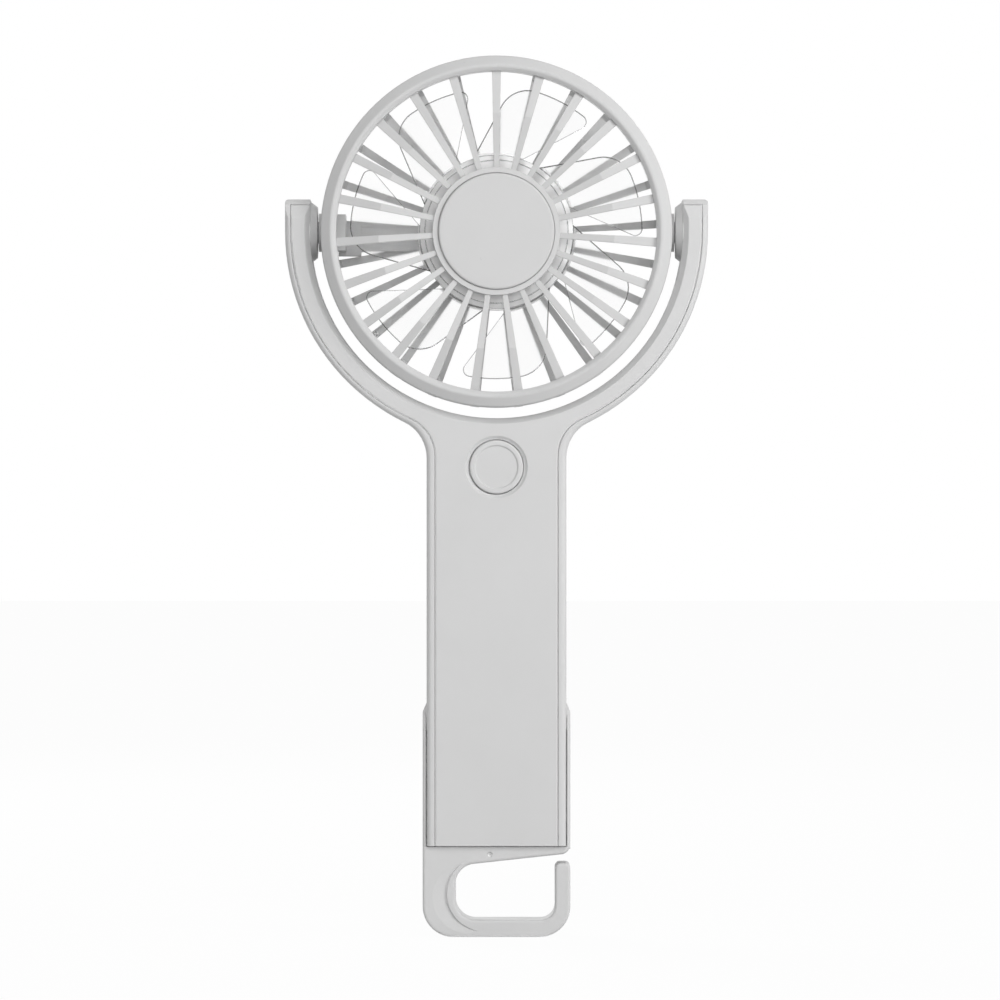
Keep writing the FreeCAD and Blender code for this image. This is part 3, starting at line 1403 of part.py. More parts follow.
def make_stator_core():
    """Laminated core with four poles whose shoes follow the magnet ring."""
    body = new_body("stator_core", "sizes.head_height")
    stack = "sizes.stator_back - sizes.stator_front"
    disc = new_sketch(body, "XZ", "-sizes.stator_back")
    circle(disc, 0, 0, "sizes.stator_radius")
    pad(body, disc, stack)

    shoe = size("stator_radius") - 1.3
    neck = 1.5
    half_mouth = 1.2
    hub = 6.2
    diagonal = math.sqrt(0.5)
    hub_reach = math.sqrt(hub**2 - neck**2)
    shoe_reach = math.sqrt(shoe**2 - neck**2)
    mouth_reach = math.sqrt(shoe**2 - half_mouth**2)
    far = (mouth_reach + half_mouth) * diagonal
    near = (mouth_reach - half_mouth) * diagonal
    slot = new_sketch(body, "XZ", "-sizes.stator_back")
    pen = Outline(slot, hub_reach, neck)
    pen.line_to(shoe_reach, neck)
    pen.arc_to(far, near, (0, 0))
    pen.line_to(far + 2, near + 2)
    pen.line_to(near + 2, far + 2)
    pen.line_to(near, far)
    pen.arc_to(neck, shoe_reach, (0, 0))
    pen.line_to(neck, hub_reach)
    pen.arc_to(hub_reach, neck, (0, 0), clockwise=True)
    all_round(body, pocket(body, slot, stack, backwards=True), "4")

    bore = new_sketch(body, "XZ", "-sizes.stator_back")
    circle(bore, 0, 0, "sizes.tube_radius")
    pocket(body, bore, stack, backwards=True)
    return body


def make_stator_windings():
    """One coil of wire round each of the four poles."""
    start = 6.7
    length = 3.7
    wire_pack = 1.5
    half_neck = 1.5
    front = size("stator_front")
    depth = size("stator_back") - front
    corner_round = 1.4
    coils = []
    for index in range(4):
        low = FreeCAD.Vector(start, front - wire_pack, -half_neck - wire_pack)
        outside = Part.makeBox(length, depth + 2 * wire_pack, 2 * (half_neck + wire_pack), low)
        long_edges = [edge for edge in outside.Edges if abs(edge.Length - length) < 1e-6]
        outside = outside.makeFillet(corner_round, long_edges)
        inside = Part.makeBox(length, depth, 2 * half_neck, FreeCAD.Vector(start, front, -half_neck))
        coil = outside.cut(inside)
        coil.rotate(FreeCAD.Vector(0, 0, 0), BACKWARD, 90 * index)
        coils.append(coil)
    return coded("stator_windings", Part.makeCompound(coils), "sizes.head_height")


parts = [
    make_body_shell(),
    make_front_cover(),
    make_power_button(),
    make_tact_switch(),
    make_switch_plunger(),
    make_circuit_board(),
    make_board_chips(),
    make_charge_socket(),
    make_charge_tongue(),
    make_battery_cell(),
    make_cell_board(),
    make_battery_pad(),
    make_battery_lead(),
    make_fork_lead(),
    make_motor_lead(),
    make_hook_frame(),
    make_hook_pins(),
    make_shell_screws(),
    make_tilt_pins(),
    make_tilt_washers(),
    make_front_grille(),
    make_hub_cap(),
    make_rear_grille(),
    make_impeller(),
] + make_motor_parts()


# Check, then write


def check_document():
    doc.recompute()
    for item in doc.Objects:
        if "Invalid" in item.State or "Error" in item.State:
            raise RuntimeError(f"{item.Name} did not build: {item.State}")
        if item.TypeId in ("PartDesign::Pocket", "PartDesign::Groove"):
            if item.Shape.Volume > item.BaseFeature.Shape.Volume - 1e-3:
                raise RuntimeError(f"{item.Name} cuts nothing")
    for part in parts:
        if part.Shape.isNull() or not part.Shape.isValid():
            raise RuntimeError(f"{part.Label} has no valid shape")


check_document()
os.makedirs("parts", exist_ok=True)
for part in parts:
    part.Shape.exportStep(f"parts/{part.Label}.step")
    print(part.Label, len(part.Shape.Solids), round(part.Shape.Volume, 1))
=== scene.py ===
# %% [markdown]
# # A battery fan, finished in Blender
# The fan's solids come ready made: a round head that tilts in a fork, a flat handle with a button,
# and a hook frame that swings out. This script loads them, gives each one its real finish, and adds
# the small pieces that a plain solid leaves out, such as screw recesses, coil turns, wires and solder.
# Everything is in metres, with the origin in the middle of the grip, Z up and the front towards -Y.

# %% Load the solids
import math

import bmesh
import bpy
from mathutils import Matrix, Vector


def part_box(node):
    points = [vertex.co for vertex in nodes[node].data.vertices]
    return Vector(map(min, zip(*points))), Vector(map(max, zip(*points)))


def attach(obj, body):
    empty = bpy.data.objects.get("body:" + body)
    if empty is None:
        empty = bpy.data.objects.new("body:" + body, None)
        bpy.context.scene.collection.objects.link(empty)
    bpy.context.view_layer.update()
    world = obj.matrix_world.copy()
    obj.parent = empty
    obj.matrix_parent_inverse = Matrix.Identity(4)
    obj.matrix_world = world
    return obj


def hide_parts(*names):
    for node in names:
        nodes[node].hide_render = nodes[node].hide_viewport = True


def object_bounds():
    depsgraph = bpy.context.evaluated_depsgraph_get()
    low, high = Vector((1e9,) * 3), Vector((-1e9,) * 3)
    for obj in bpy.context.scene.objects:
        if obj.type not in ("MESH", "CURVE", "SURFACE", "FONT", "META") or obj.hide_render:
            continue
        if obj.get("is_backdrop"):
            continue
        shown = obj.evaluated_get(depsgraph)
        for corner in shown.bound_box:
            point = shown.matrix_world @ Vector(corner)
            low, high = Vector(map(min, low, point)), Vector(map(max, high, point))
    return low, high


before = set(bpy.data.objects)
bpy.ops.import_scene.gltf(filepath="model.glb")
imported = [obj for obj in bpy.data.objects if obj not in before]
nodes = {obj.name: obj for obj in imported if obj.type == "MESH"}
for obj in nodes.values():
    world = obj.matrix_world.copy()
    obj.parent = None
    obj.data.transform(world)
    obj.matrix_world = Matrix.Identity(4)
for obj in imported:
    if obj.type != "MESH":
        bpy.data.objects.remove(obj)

solid_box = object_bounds()
MM = 0.001
print(len(nodes), "solids in", [round(side / MM, 1) for side in solid_box[1] - solid_box[0]], "mm")

# %% [markdown]
# ## Camera
# The fan is seen straight from the front, from a little under two metres. At that distance the inner
# sides of the fork show as thin lines, which a picture without perspective would lose, and a long
# lens keeps the round head round.

# %% Camera
CAMERA_PLACE = (0.0008, -1.808, 0.0184)
SENSOR_WIDTH = 36
LENS_LENGTH = 285.12

camera_data = bpy.data.cameras.new("front_camera")
camera_data.sensor_width = SENSOR_WIDTH
camera_data.lens = LENS_LENGTH
camera = bpy.data.objects.new("front_camera", camera_data)
camera.location = CAMERA_PLACE
camera.rotation_euler = (math.radians(90), 0, 0)
bpy.context.scene.collection.objects.link(camera)
bpy.context.scene.camera = camera
bpy.context.scene.view_settings.view_transform = "Standard"
print("camera stands", round(-camera.location.y, 3), "m in front")

# %% [markdown]
# ## Floor
# A pale floor that is nearly white to the camera. The camera's own rays, and the rays that reflect or
# pass through, get a plain white mixed in, so the white never comes from more light on the fan. The
# rest of the mix is an ordinary matt paint, which keeps the fan's shadow.

# %% Rays that end in the picture
def camera_side_rays(tree):
    """1 for rays from the camera, a reflection or a transmission, and 0 for the light's own rays."""
    path = tree.nodes.new("ShaderNodeLightPath")
    either = tree.nodes.new("ShaderNodeMath")
    either.operation = "MAXIMUM"
    every = tree.nodes.new("ShaderNodeMath")
    every.operation = "MAXIMUM"
    tree.links.new(path.outputs["Is Camera Ray"], either.inputs[0])
    tree.links.new(path.outputs["Is Glossy Ray"], either.inputs[1])
    tree.links.new(either.outputs[0], every.inputs[0])
    tree.links.new(path.outputs["Is Transmission Ray"], every.inputs[1])
    return every.outputs[0]


# %% Floor paint
FLOOR_GREY = 0.6
FLOOR_WHITE_SHARE = 0.97


def studio_paint(white_share):
    """Matt paint, with that share of plain white mixed in for the rays that end in the picture."""
    paint = bpy.data.materials.new("studio_paint")
    paint.use_nodes = True
    tree = paint.node_tree
    tree.nodes.clear()
    matt = tree.nodes.new("ShaderNodeBsdfDiffuse")
    matt.inputs["Color"].default_value = (FLOOR_GREY, FLOOR_GREY, FLOOR_GREY, 1)
    white = tree.nodes.new("ShaderNodeEmission")
    white.inputs["Strength"].default_value = 1.0
    share = tree.nodes.new("ShaderNodeMath")
    share.operation = "MULTIPLY"
    share.inputs[1].default_value = white_share
    tree.links.new(camera_side_rays(tree), share.inputs[0])
    mix = tree.nodes.new("ShaderNodeMixShader")
    tree.links.new(share.outputs[0], mix.inputs["Fac"])
    tree.links.new(matt.outputs["BSDF"], mix.inputs[1])
    tree.links.new(white.outputs["Emission"], mix.inputs[2])
    out = tree.nodes.new("ShaderNodeOutputMaterial")
    tree.links.new(mix.outputs["Shader"], out.inputs["Surface"])
    return paint


floor_paint = studio_paint(FLOOR_WHITE_SHARE)
print("floor paint is", FLOOR_WHITE_SHARE, "white to the camera")

# %% Floor sheet
FLOOR_Z = solid_box[0].z
FLOOR_HALF_SIDE = 6.0


def studio_floor(half_side, material):
    """A square sheet at the height of the fan's lowest point."""
    shape = bmesh.new()
    level = Matrix.Translation((0, 0, FLOOR_Z))
    bmesh.ops.create_grid(shape, x_segments=1, y_segments=1, size=half_side, matrix=level)
    mesh = bpy.data.meshes.new("floor")
    shape.to_mesh(mesh)
    shape.free()
    mesh.materials.append(material)
    sheet = bpy.data.objects.new("floor", mesh)
    bpy.context.scene.collection.objects.link(sheet)
    sheet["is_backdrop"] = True


studio_floor(FLOOR_HALF_SIDE, floor_paint)
print("floor at", round(FLOOR_Z / MM, 1), "mm")

# %% [markdown]
# ## Lamps
# Three large soft lamps share the front: one hangs high, so faces that turn up are bright and faces
# that turn down are in half shade, one stands far out to the right for the faces that turn that way,
# and one near the camera softens the shadows of the ribs. A fourth behind the fan is there for its
# back. The lamps are kept out of reflections, where they would burn out each face that mirrors one:
# what the gloss shows is the room.

# %% Lamps
def soft_lamp(name, at, towards, width, power):
    """A square lamp at one place that looks towards another; its power is in watts."""
    data = bpy.data.lights.new(name, "AREA")
    data.shape = "SQUARE"
    data.size = width
    data.energy = power
    lamp = bpy.data.objects.new(name, data)
    lamp.location = at
    lamp.rotation_euler = (Vector(towards) - Vector(at)).to_track_quat("-Z", "Y").to_euler()
    lamp.visible_glossy = False
    bpy.context.scene.collection.objects.link(lamp)
    print(name, power, "W")


soft_lamp("upper_lamp", at=(0.0, -0.9, 0.9), towards=(0, 0, 0.02), width=0.5, power=4.7)
soft_lamp("right_lamp", at=(0.8, -0.6, 0.2), towards=(0, 0, 0.04), width=0.4, power=5.2)
soft_lamp("front_lamp", at=(0.1, -1.3, 0.25), towards=(0, 0, 0.02), width=0.5, power=2.9)
soft_lamp("back_lamp", at=(-0.5, 0.9, 0.6), towards=(0, 0, 0.04), width=0.5, power=8.5)

# %% [markdown]
# ## Room
# A white room gives the even light that fills the shade. It would flatten the fan if it were as bright
# as it looks, so it is white only to the rays that end in the picture, and lights the fan as a dim grey.

# %% Room
ROOM_LIGHT = 0.28
ROOM_LOOK = 1.0

room = bpy.data.worlds.new("room")
bpy.context.scene.world = room
room.use_nodes = True
background = room.node_tree.nodes["Background"]
background.inputs["Color"].default_value = (1, 1, 1, 1)
brighter = room.node_tree.nodes.new("ShaderNodeMapRange")
brighter.inputs["To Min"].default_value = ROOM_LIGHT
brighter.inputs["To Max"].default_value = ROOM_LOOK
room.node_tree.links.new(camera_side_rays(room.node_tree), brighter.inputs["Value"])
room.node_tree.links.new(brighter.outputs["Result"], background.inputs["Strength"])
print("room lights with", ROOM_LIGHT, "and looks like", ROOM_LOOK)

# %% [markdown]
# ## How a finish is built
# Every finish is the same plain shader with patterns in front of it. The patterns read the object's
# own coordinates, in metres, so a scale is a count per metre. A pattern can tint the colour, make the
# gloss uneven, or raise a fine relief. Moulded edges are never razor sharp, so the relief starts from
# a rounded edge.

# %% Finish helper
TINT_STOPS = (0.3, 0.7)


def grey(level):
    """The same level of red, green and blue."""
    return (level, level, level)


class Finish:
    """One material: plain numbers sit on its shader's sockets, and patterns are added one by one."""

    def __init__(self, name, colour, roughness, metallic=0.0, edge=0.0):
        self.material = bpy.data.materials.new(name)
        self.material.use_nodes = True
        self.tree = self.material.node_tree
        self.shader = self.tree.nodes["Principled BSDF"]
        self.colour = colour
        self.shader.inputs["Base Color"].default_value = (*colour, 1)
        self.shader.inputs["Roughness"].default_value = roughness
        self.shader.inputs["Metallic"].default_value = metallic
        self.place = self.node("TexCoord").outputs["Object"]
        self.normal = None
        if edge:
            rounded = self.node("Bevel", Radius=edge)
            rounded.samples = 4
            self.normal = rounded.outputs["Normal"]
            self.join(self.normal, self.shader.inputs["Normal"])

    def node(self, kind, **values):
        made = self.tree.nodes.new("ShaderNode" + kind)
        for name, value in values.items():
            made.inputs[name.replace("_", " ")].default_value = value
        return made

    def join(self, start, end):
        self.tree.links.new(start, end)

    def cloud(self, per_metre, detail):
        pattern = self.node("TexNoise", Scale=per_metre, Detail=detail)
        self.join(self.place, pattern.inputs["Vector"])
        return pattern.outputs["Fac"]

    def cells(self, per_metre):
        pattern = self.node("TexVoronoi", Scale=per_metre)
        self.join(self.place, pattern.inputs["Vector"])
        return pattern.outputs["Distance"]

    def lines(self, per_metre, direction, distortion):
        pattern = self.node("TexWave", Scale=per_metre, Distortion=distortion)
        pattern.bands_direction = direction
        self.join(self.place, pattern.inputs["Vector"])
        return pattern.outputs["Fac"]

    def tint(self, pattern, dark):
        """Base colour between the finish's own colour and a darker share of it, by the pattern."""
        ramp = self.node("ValToRGB")
        stops = ramp.color_ramp.elements
        stops[0].position, stops[1].position = TINT_STOPS
        stops[0].color = (*(channel * share for channel, share in zip(self.colour, dark)), 1)
        stops[1].color = (*self.colour, 1)
        self.join(pattern, ramp.inputs["Fac"])
        self.join(ramp.outputs["Color"], self.shader.inputs["Base Color"])

    def scale_colour(self, share):
        """Multiplies the base colour, with any tint that it has, by that value."""
        colour = self.shader.inputs["Base Color"]
        scaled = self.node("VectorMath")
        scaled.operation = "MULTIPLY"
        self.join(colour.links[0].from_socket, scaled.inputs[0])
        self.join(share, scaled.inputs[1])
        self.join(scaled.outputs["Vector"], colour)

    def gloss(self, pattern, low, high):
        """Roughness between two values, by the pattern."""
        spread = self.node("MapRange", To_Min=low, To_Max=high)
        self.join(pattern, spread.inputs["Value"])
        self.join(spread.outputs["Result"], self.shader.inputs["Roughness"])

    def relief(self, pattern, height):
        """Fine relief of that height in metres, on top of the rounded edge and any relief before it."""
        bump = self.node("Bump", Strength=1.0, Distance=height)
        self.join(pattern, bump.inputs["Height"])
        if self.normal:
            self.join(self.normal, bump.inputs["Normal"])
        self.normal = bump.outputs["Normal"]
        self.join(self.normal, self.shader.inputs["Normal"])


# %% Finish of a solid
def wear(finish, *names):
    """Puts a finish on solids that keep their shape."""
    for name in names:
        slots = nodes[name].data.materials
        slots.clear()
        slots.append(finish.material)
    print(finish.material.name, "on", ", ".join(names))


# %% [markdown]
# ## Pale housing plastic
# The housing is moulded from pale grey plastic in a tool whose faces were spark eroded, which leaves a
# satin skin: an even colour with the faintest clouds in it, and a grain a fifth of a millimetre
# across that breaks up every reflection. The plastic lets some light in, which comes out again in
# narrow seams, so a seam is a soft line and never a black one. Scattering inside the shader gives too
# little of that at this size, so the seams get painted light: an Ambient Occlusion node raises the
# base colour where little of the open room can be seen.

# %% Housing finish
SEAM_REACH = 1.2
# how far the painted light raises the base colour in the closest seams
SEAM_PAINTED_LIGHT = 1.62
SEAM_CLOSED = 0.1
SEAM_OPEN = 0.7
GLOW_DEPTH = 1.5


def paint_seam_light(plastic):
    """Paints light into narrow gaps: raises the base colour there, for light that comes out of the
    plastic again.
    """
    open_share = plastic.node("AmbientOcclusion", Distance=SEAM_REACH * MM)
    open_share.samples = 8
    lift = plastic.node("MapRange", From_Min=SEAM_CLOSED, From_Max=SEAM_OPEN, To_Min=SEAM_PAINTED_LIGHT)
    plastic.join(open_share.outputs["AO"], lift.inputs["Value"])
    plastic.scale_colour(lift.outputs["Result"])


def housing_plastic():
    plastic = Finish("housing_plastic", grey(0.61), roughness=0.42, edge=0.3 * MM)
    plastic.shader.inputs["Subsurface Weight"].default_value = 0.08
    plastic.shader.inputs["Subsurface Radius"].default_value = grey(GLOW_DEPTH * MM)
    plastic.shader.inputs["Subsurface Scale"].default_value = 1.0
    plastic.tint(plastic.cloud(60, detail=3), dark=grey(0.975))
    # painted light: the base colour is raised in the narrow seams
    paint_seam_light(plastic)
    plastic.gloss(plastic.cloud(400, detail=4), low=0.36, high=0.48)
    plastic.relief(plastic.cloud(5200, detail=3), height=0.004 * MM)
    return plastic


wear(housing_plastic(), "body_shell", "front_cover", "power_button", "hook_frame")

# %% [markdown]
# ## Head plastic
# Bezel, ribs and disc come from a more polished tool than the housing. A smoother finish of the same
# kind, a shade darker and with a smaller rounding of its edges, shows clear bright and dark faces on
# the ribs, which are little more than a millimetre wide.

# %% Head finish
def head_plastic():
    plastic = Finish("head_plastic", grey(0.575), roughness=0.34, edge=0.2 * MM)
    plastic.tint(plastic.cloud(80, detail=3), dark=grey(0.975))
    plastic.gloss(plastic.cloud(500, detail=4), low=0.24, high=0.36)
    plastic.relief(plastic.cloud(6000, detail=2), height=0.002 * MM)
    return plastic


wear(head_plastic(), "front_grille", "rear_grille", "hub_cap")

# %% [markdown]
# ## Blade plastic
# The blades are moulded from a lightly frosted clear plastic: the white room behind the fan glows
# through them. Their edges are dark, because there the light is caught inside, and that dark is
# painted shade: the base colour is lowered near an edge. The Bevel node finds the edges: its rounded
# normal leaves the face's own normal only near an edge. The hub is thick, so the plastic turns plain
# white inside the radius where the blades begin.

# %% Painted edge shade
# painted shade: the share of the blade colour that is left at an edge
EDGE_SHADE_SHARE = 0.05
EDGE_TURNED = 0.93
EDGE_FLAT = 0.995


def paint_edge_shade(plastic, rounded):
    """Paints shade on edges: lowers the base colour where the rounded normal leaves the face's own
    normal.
    """
    facing = plastic.node("VectorMath")
    facing.operation = "DOT_PRODUCT"
    plastic.join(rounded, facing.inputs[0])
    plastic.join(plastic.node("NewGeometry").outputs["True Normal"], facing.inputs[1])
    share = plastic.node("MapRange", From_Min=EDGE_TURNED, From_Max=EDGE_FLAT, To_Min=EDGE_SHADE_SHARE)
    plastic.join(facing.outputs["Value"], share.inputs["Value"])
    plastic.scale_colour(share.outputs["Result"])


print("edges keep", EDGE_SHADE_SHARE, "of their colour")

# %% Blade finish
HEAD_HEIGHT = 79.4
BLADE_ROOT = 17.4
ROOT_BLEND = 1


def clear_outside(plastic, root, blend):
    """Makes the plastic clear outside that distance from the head's axis."""
    from_axis = plastic.node("VectorMath")
    from_axis.operation = "SUBTRACT"
    from_axis.inputs[1].default_value = (0, 0, HEAD_HEIGHT * MM)
    plastic.join(plastic.place, from_axis.inputs[0])
    flat = plastic.node("VectorMath")
    flat.operation = "MULTIPLY"
    flat.inputs[1].default_value = (1, 0, 1)
    plastic.join(from_axis.outputs["Vector"], flat.inputs[0])
    radius = plastic.node("VectorMath")
    radius.operation = "LENGTH"
    plastic.join(flat.outputs["Vector"], radius.inputs[0])
    clear = plastic.node("MapRange", From_Min=root, From_Max=root + blend)
    plastic.join(radius.outputs["Value"], clear.inputs["Value"])
    plastic.join(clear.outputs["Result"], plastic.shader.inputs["Transmission Weight"])


def blade_plastic():
    plastic = Finish("blade_plastic", grey(0.985), roughness=0.16, edge=0.45 * MM)
    plastic.shader.inputs["IOR"].default_value = 1.2
    rounded = plastic.normal
    plastic.tint(plastic.cloud(90, detail=2), dark=grey(0.99))
    plastic.relief(plastic.cloud(2500, detail=2), height=0.001 * MM)
    # painted shade on the blade edges
    paint_edge_shade(plastic, rounded)
    clear_outside(plastic, BLADE_ROOT * MM, ROOT_BLEND * MM)
    return plastic


wear(blade_plastic(), "impeller")

# %% [markdown]
# ## Metals
# Pins, screws, socket and shaft are plain steel with the fine lines of turning or rolling. A Wave
# texture draws them, and they have to run round the piece, so there is one finish for pieces that lie
# along X and one for pieces along Y. The bearing is pressed from bronze grains, whose pores come from a
# Voronoi texture.

# %% Metal finishes
def turned_steel(name, tone, direction):
    steel = Finish(name, (tone, tone, tone * 1.02), roughness=0.3, metallic=1.0, edge=0.1 * MM)
    steel.tint(steel.cloud(900, detail=3), dark=grey(0.86))
    steel.gloss(steel.cloud(2500, detail=4), low=0.2, high=0.4)
    steel.relief(steel.lines(6000, direction, distortion=1.5), height=0.003 * MM)
    return steel


def porous_bronze():
    bronze = Finish("porous_bronze", (0.58, 0.4, 0.21), roughness=0.4, metallic=1.0)
    bronze.tint(bronze.cells(5000), dark=(0.55, 0.5, 0.5))
    bronze.relief(bronze.cells(5000), height=0.02 * MM)
    return bronze


pin_steel = turned_steel("cross_turned_steel", 0.6, "X")
shaft_steel = turned_steel("shaft_steel", 0.62, "Y")
wear(pin_steel, "hook_pins", "tilt_pins", "tilt_washers", "charge_socket")
wear(shaft_steel, "rotor_shaft", "shaft_clip", "magnet_yoke", "stator_core", "shell_screws")
wear(porous_bronze(), "sleeve_bearing")

# %% [markdown]
# ## Black, green and foil
# Switch and chips are black epoxy and nylon, the boards are glass cloth under green lacquer, the cell
# is a pouch of aluminium foil, and the magnet ring is pressed ferrite powder. These pieces are small,
# so their patterns are fine: hundreds of spots per metre on foil and lacquer, thousands on the rest.

# %% Inner finishes
def black_moulding():
    black = Finish("black_moulding", (0.035, 0.035, 0.037), roughness=0.5, edge=0.1 * MM)
    black.gloss(black.cloud(3000, detail=3), low=0.4, high=0.65)
    black.relief(black.cloud(9000, detail=2), height=0.004 * MM)
    return black


def board_lacquer():
    lacquer = Finish("board_lacquer", (0.02, 0.17, 0.06), roughness=0.35)
    lacquer.shader.inputs["Coat Weight"].default_value = 0.4
    lacquer.tint(lacquer.cells(700), dark=(0.6, 0.7, 0.6))
    lacquer.relief(lacquer.cells(700), height=0.02 * MM)
    return lacquer


def cell_pouch():
    pouch = Finish("cell_pouch", (0.66, 0.67, 0.68), roughness=0.32, metallic=1.0)
    pouch.tint(pouch.cloud(120, detail=3), dark=grey(0.85))
    pouch.gloss(pouch.cloud(300, detail=3), low=0.25, high=0.45)
    pouch.relief(pouch.cloud(220, detail=3), height=0.15 * MM)
    return pouch


def ferrite():
    magnet = Finish("ferrite", (0.06, 0.06, 0.062), roughness=0.6)
    magnet.tint(magnet.cloud(4000, detail=3), dark=grey(0.6))
    magnet.relief(magnet.cloud(4000, detail=3), height=0.01 * MM)
    return magnet


wear(black_moulding(), "tact_switch", "switch_plunger", "board_chips", "charge_tongue")
wear(board_lacquer(), "circuit_board", "cell_board", "motor_board")
wear(cell_pouch(), "battery_cell")
wear(ferrite(), "magnet_ring")

# %% [markdown]
# ## Foam, jackets, copper, gold and tin
# The finishes of the pieces that are still to come: open foam with small round cells, smooth wire
# jackets, copper under clear enamel, the gold of the contacts and the tin of the solder. The enamel is
# the shader's own coat, because it is a clear layer over the metal.

# %% Soft and wound finishes
def foam():
    cellular = Finish("foam", grey(0.06), roughness=0.9)
    cellular.tint(cellular.cells(2200), dark=grey(0.4))
    cellular.relief(cellular.cells(2200), height=0.15 * MM)
    return cellular


def wire_jacket(name, colour):
    jacket = Finish(name, colour, roughness=0.3)
    jacket.tint(jacket.cloud(1500, detail=2), dark=grey(0.9))
    jacket.relief(jacket.cloud(4000, detail=2), height=0.004 * MM)
    return jacket


def enamelled_copper():
    copper = Finish("enamelled_copper", (0.6, 0.24, 0.1), roughness=0.28, metallic=1.0)
    copper.tint(copper.cloud(2500, detail=2), dark=(0.8, 0.75, 0.7))
    copper.shader.inputs["Coat Weight"].default_value = 0.5
    return copper


def gold_plate():
    gold = Finish("gold_plate", (0.85, 0.6, 0.25), roughness=0.22, metallic=1.0)
    gold.tint(gold.cloud(6000, detail=2), dark=(0.9, 0.88, 0.85))
    return gold


def solder():
    tin = Finish("solder", (0.68, 0.68, 0.7), roughness=0.22, metallic=1.0)
    tin.gloss(tin.cloud(3000, detail=2), low=0.15, high=0.35)
    tin.relief(tin.cloud(2500, detail=2), height=0.02 * MM)
    return tin


red_jacket = wire_jacket("red_jacket", (0.45, 0.02, 0.02))
black_jacket = wire_jacket("black_jacket", grey(0.03))
tin = solder()
print("ready for new pieces:", ", ".join(each.material.name for each in (red_jacket, black_jacket, tin)))

# %% [markdown]
# ## New pieces
# A new piece is shaped as a bmesh, then becomes an object at the origin with its place in its mesh,
# just like the solids. Its faces are turned outwards, edges sharper than 35 degrees stay sharp, and
# it rides on the body that carries it.

# %% Piece helper
SHARP_EDGE = 35
JOIN_DISTANCE = 0.002


def new_piece(name, shape, body, finish, stands_for=()):
    """Makes an object of a finished bmesh, which it frees; stands_for names the solids it replaces."""
    bmesh.ops.remove_doubles(shape, verts=shape.verts, dist=JOIN_DISTANCE * MM)
    bmesh.ops.recalc_face_normals(shape, faces=shape.faces)
    mesh = bpy.data.meshes.new(name)
    shape.to_mesh(mesh)
    shape.free()
    mesh.shade_smooth()
    mesh.set_sharp_from_angle(angle=math.radians(SHARP_EDGE))
    mesh.materials.append(finish.material)
    piece = bpy.data.objects.new(name, mesh)
    bpy.context.scene.collection.objects.link(piece)
    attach(piece, body)
    if stands_for:
        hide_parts(*stands_for)
    print(name, len(mesh.polygons), "faces")
    return piece


# %% [markdown]
# ## Two simple shapes
# Most small pieces are either turned or cut from a bar. Spinning an outline once round a line gives the
# turned ones, and a cube that is scaled, moved and bevelled gives the others.

# %% Shape helpers
def turn_profile(shape, points, centre, steps=32):
    """Spins points of (radius, y), in millimetres, once round a line along Y through the centre."""
    verts = [shape.verts.new(centre + Vector((radius, y, 0)) * MM) for radius, y in points]
    edges = [shape.edges.new(pair) for pair in zip(verts, verts[1:])]
    bmesh.ops.spin(
        shape, geom=verts + edges, cent=centre, axis=(0, 1, 0), dvec=(0, 0, 0),
        angle=2 * math.pi, steps=steps, use_merge=True,
    )


def block(shape, low, high, round_edges=0.0):
    """A box between two corners in millimetres, with its edges rounded."""
    low, high = Vector(low) * MM, Vector(high) * MM
    made = bmesh.ops.create_cube(shape, size=1.0)["verts"]
    bmesh.ops.scale(shape, vec=high - low, verts=made)
    bmesh.ops.translate(shape, vec=(low + high) / 2, verts=made)
    if round_edges:
        edges = list({edge for vert in made for edge in vert.link_edges})
        bmesh.ops.bevel(
            shape, geom=edges, offset=round_edges * MM, offset_type="OFFSET", segments=2,
            profile=0.5, material=-1, affect="EDGES", clamp_overlap=True,
        )


# %% [markdown]
# ## Shell screws
# Four pan head screws hold the two halves of the housing together from the back. Each is one turned
# shape. Its thread is a small ridge that is spun round the shank while it moves forward. The cross
# recess could be modelled face by face, but cutting it with two tapered blades gives clean edges on the
# round head.

# %% Screw shape
SCREW_SEAT = 5.4
SCREW_CROWN = SCREW_SEAT + 1.6
SCREW_TIP = SCREW_SEAT - 9
SCREW_HEAD = 1.9
SCREW_CORE = 0.85
THREAD_RADIUS = 1.0
THREAD_HALF = 0.2
THREAD_PITCH = 0.75
THREAD_TURNS = 9
THREAD_STEPS = 16


def screw_body(shape, centre):
    """Head, core and thread of one screw round a line along Y."""
    turn_profile(shape, [
        (0, SCREW_CROWN), (0.9, SCREW_CROWN - 0.05), (1.5, SCREW_CROWN - 0.25),
        (SCREW_HEAD, SCREW_CROWN - 0.7), (SCREW_HEAD, SCREW_SEAT), (SCREW_CORE, SCREW_SEAT),
        (SCREW_CORE, SCREW_TIP + 0.8), (0.25, SCREW_TIP), (0, SCREW_TIP),
    ], centre)
    start = SCREW_SEAT - 0.9
    root = SCREW_CORE - 0.1
    ridge = [(root, start + THREAD_HALF), (THREAD_RADIUS, start), (root, start - THREAD_HALF)]
    verts = [shape.verts.new(centre + Vector((radius, y, 0)) * MM) for radius, y in ridge]
    face = shape.faces.new(verts)
    bmesh.ops.spin(
        shape, geom=[face], cent=centre, axis=(0, 1, 0),
        dvec=(0, -THREAD_PITCH * MM / THREAD_STEPS, 0),
        angle=2 * math.pi * THREAD_TURNS, steps=THREAD_STEPS * THREAD_TURNS,
    )


print("screw from", round(SCREW_TIP, 2), "to", round(SCREW_CROWN, 2), "mm in depth")

# %% Cross recess
RECESS_SIZE = (2.0, 1.2, 0.45)
RECESS_TAPER = (0.35, 1, 0.7)
RECESS_MIDDLE = SCREW_CROWN - 0.5


